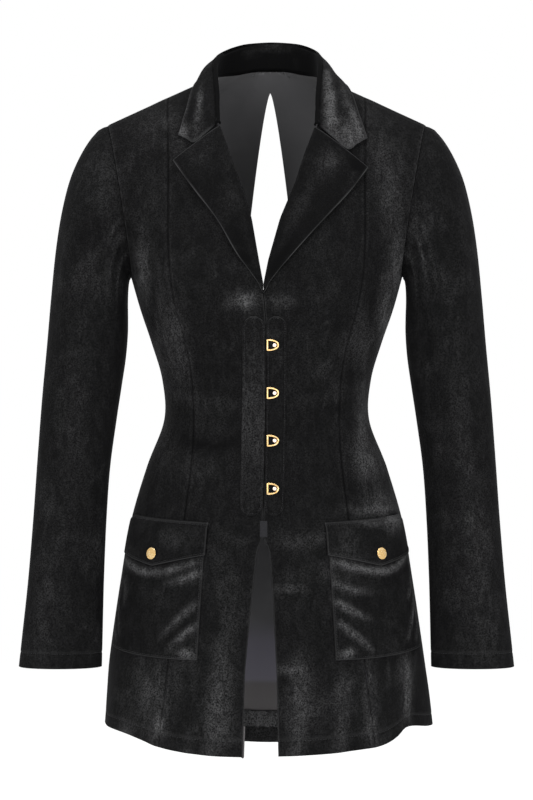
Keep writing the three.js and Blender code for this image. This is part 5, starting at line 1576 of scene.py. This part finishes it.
def buildStitchTree():
    # Thread dashes along a curve: even spacing, each a small rounded bead turned along the seam
    tree = bpy.data.node_groups.new("stitchRun", "GeometryNodeTree")
    for label, kind, way, value in (
        ("Geometry", "NodeSocketGeometry", "INPUT", None), ("Pitch", "NodeSocketFloat", "INPUT", 0.0026),
        ("Length", "NodeSocketFloat", "INPUT", 0.0018), ("Thickness", "NodeSocketFloat", "INPUT", 0.0003),
        ("Unevenness", "NodeSocketFloat", "INPUT", 0.08), ("Seed", "NodeSocketInt", "INPUT", 3),
        ("Thread", "NodeSocketMaterial", "INPUT", None), ("Geometry", "NodeSocketGeometry", "OUTPUT", None),
    ):
        socket = tree.interface.new_socket(label, in_out=way, socket_type=kind)
        if value is not None:
            socket.default_value = value
    nodes, links = tree.nodes, tree.links
    given, result = nodes.new("NodeGroupInput"), nodes.new("NodeGroupOutput")
    spaced = nodes.new("GeometryNodeResampleCurve")
    spaced.mode = "LENGTH"
    bead = nodes.new("GeometryNodeMeshUVSphere")
    bead.inputs["Segments"].default_value = 6
    bead.inputs["Rings"].default_value = 5
    bead.inputs["Radius"].default_value = 0.5
    tangent = nodes.new("GeometryNodeInputTangent")
    align = nodes.new("FunctionNodeAlignRotationToVector")
    align.axis = "Z"
    wobble = nodes.new("FunctionNodeRandomValue")
    wobble.data_type = "FLOAT_VECTOR"
    place = nodes.new("GeometryNodeInstanceOnPoints")
    size = nodes.new("ShaderNodeCombineXYZ")
    vary = nodes.new("ShaderNodeVectorMath")
    vary.operation = "MULTIPLY"
    low, high = nodes.new("ShaderNodeMath"), nodes.new("ShaderNodeMath")
    low.operation, high.operation = "SUBTRACT", "ADD"
    low.inputs[0].default_value = high.inputs[0].default_value = 1
    realize = nodes.new("GeometryNodeRealizeInstances")
    dye = nodes.new("GeometryNodeSetMaterial")
    for a, b in (
        (given.outputs["Geometry"], spaced.inputs["Curve"]), (given.outputs["Pitch"], spaced.inputs["Length"]),
        (given.outputs["Unevenness"], low.inputs[1]), (given.outputs["Unevenness"], high.inputs[1]),
        (low.outputs[0], wobble.inputs[0]), (high.outputs[0], wobble.inputs[1]),
        (given.outputs["Seed"], wobble.inputs["Seed"]), (given.outputs["Thickness"], size.inputs[0]),
        (given.outputs["Thickness"], size.inputs[1]), (given.outputs["Length"], size.inputs[2]),
        (size.outputs[0], vary.inputs[0]), (wobble.outputs[0], vary.inputs[1]),
        (tangent.outputs[0], align.inputs["Vector"]), (spaced.outputs[0], place.inputs["Points"]),
        (bead.outputs["Mesh"], place.inputs["Instance"]), (align.outputs[0], place.inputs["Rotation"]),
        (vary.outputs[0], place.inputs["Scale"]), (place.outputs[0], realize.inputs[0]),
        (realize.outputs[0], dye.inputs["Geometry"]), (given.outputs["Thread"], dye.inputs["Material"]),
        (dye.outputs[0], result.inputs["Geometry"]),
    ):
        links.new(a, b)
    return tree


stitchTree = buildStitchTree()
# How far stitches lie in from an edge, and how deep they sink into the cloth
sewn = {"pocketIn": 2.6, "flapIn": 2.4, "flapTop": 3.4, "flapBottom": 2.7, "sunk": 0.35}


def sewRuns(name, runs, seed, pitch=0.0027, length=0.0019, thickness=0.00036):
    # Turns lines of points into one mesh of stitches
    curve = bpy.data.curves.new(name, "CURVE")
    curve.dimensions = "3D"
    for run in runs:
        run = swayed(run)
        line = curve.splines.new("POLY")
        line.points.add(len(run) - 1)
        line.points.foreach_set("co", np.concatenate([run * mm, np.ones((len(run), 1))], 1).reshape(-1))
    path = bpy.data.objects.new(name + "_path", curve)
    scene.collection.objects.link(path)
    sewing = path.modifiers.new("sewing", "NODES")
    sewing.node_group = stitchTree
    sockets = [item for item in stitchTree.interface.items_tree if item.in_out == "INPUT"]
    identifiers = {item.name: item.identifier for item in sockets}
    for label, value in (("Pitch", pitch), ("Length", length), ("Thickness", thickness), ("Seed", seed),
                         ("Thread", thread)):
        sewing[identifiers[label]] = value
    mesh = bpy.data.meshes.new_from_object(path.evaluated_get(bpy.context.evaluated_depsgraph_get()))
    path.modifiers.remove(sewing)
    bpy.data.objects.remove(path)
    mesh.name = name
    mesh.shade_smooth()
    piece = bpy.data.objects.new(name, mesh)
    scene.collection.objects.link(piece)
    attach(piece, "root")


def hemRun(half, side, startShare, endShare):
    v = np.full(60, panelCut["stitchUp"] * panelCut["perMm"])
    a, b = startShare(v[:1])[0], endShare(v[:1])[0]
    share = a + (b - a) * np.linspace(0.015, 0.985, 60)
    return skin(half, side, share, v, -0.42)


def cuffRun(side):
    ring = np.full(90, len(sleeveRings) - cuffCut["stitchUp"] / cuffCut["lastSpan"])
    around = sleevePoint(side, ring, np.linspace(0, 360, 90))
    return around - unit(around - around[:-1].mean(0)) * sewn["sunk"]


def pocketRun(side):
    # Down the inner edge, along the bottom and up the outer edge
    t = np.linspace(0, 1, 46)
    left, right = sewn["pocketIn"] / pocket["width"], 1 - sewn["pocketIn"] / pocket["width"]
    low, high = sewn["pocketIn"] / pocket["height"], 0.97
    u = np.concatenate([np.full(46, left), left + (right - left) * t, np.full(46, right)])
    v = np.concatenate([high + (low - high) * t, np.full(46, low), low + (high - low) * t])
    share = shareOf(pocket, u)
    z = pocketBottom(share) + (pocketTop(share) - pocketBottom(share)) * v
    height, _ = pocketHeight(side, share, z)
    return onPocket(side, share, z, seams["layGap"] + pocket["wall"] + height - sewn["sunk"])


def flapRuns(side):
    margin = sewn["flapIn"] / flap["width"]
    share = shareOf(flap, np.linspace(margin, 1 - margin, 60))
    return [onPocket(side, share, z, flapOut(side, share, z) + seams["band"] - sewn["sunk"])
            for z in (flapTop(share) - sewn["flapTop"], flapBottom(share) + sewn["flapBottom"])]


def buskRun(side):
    # Round the channel: up its inner side, over the top, down and back under
    half = channel["width"][side] / 2
    r = half - channel["groove"]
    turn = np.linspace(0, math.pi, 26)
    straight = np.linspace(half, channelLength - half, 60)
    up = [(half - r, h) for h in straight]
    over = [(half - r * math.cos(t), channelLength - half + r * math.sin(t)) for t in turn]
    down = [(half + r, h) for h in straight[::-1]]
    under = [(half + r * math.cos(t), half - r * math.sin(t)) for t in turn]
    path = np.array(up + over[1:] + down[1:] + under[1:])
    z = channel["bottomZ"] + path[:, 1]
    return onFront(side, frontEdgeX(side, z) + seams["gap"] + path[:, 0], z, seams["layGap"] + 0.42)


def makeStitches():
    sides = (-1, 1)
    hem = []
    for side in sides:
        hem.append(hemRun("front", side, startOfFront(side), princessShare))
        hem.append(hemRun("front", side, princessShare, sideShare))
        hem.append(hemRun("back", side, startOfBack, sideShare))
    sewRuns("hemStitches", hem, seed=5, pitch=0.0029)
    sewRuns("cuffStitches", [cuffRun(side) for side in sides], seed=7, pitch=0.0029)
    sewRuns("pocketStitches", [pocketRun(side) for side in sides], seed=11)
    sewRuns("flapStitches", [run for side in sides for run in flapRuns(side)], seed=13)
    sewRuns("buskStitches", [buskRun(side) for side in sides], seed=17, pitch=0.0026)


makeStitches()
print("stitches sewn")


def makeTack():
    # A dense bar of thread wound over the top of the slit
    zs = np.linspace(tackPlan["bottomZ"], tackPlan["topZ"], 40)
    xs = np.linspace(tackPlan["left"], tackPlan["right"], 14)
    z2, x2 = np.meshgrid(zs, xs, indexing="ij")
    fromSides = np.minimum(x2 - tackPlan["left"], tackPlan["right"] - x2)
    distance = np.minimum(fromSides, np.minimum(z2 - zs[0], zs[-1] - z2))
    out = seams["layGap"] + 0.8 * smooth(distance / 1.2) + 0.16 * np.sin(z2 * 7.5)
    piece = gridObject("barTackThread", [onFront(1, x2, z2, out)], [tackThread], 0.6)
    wear(piece, "bar_tack")


makeTack()
print("bar tack made")
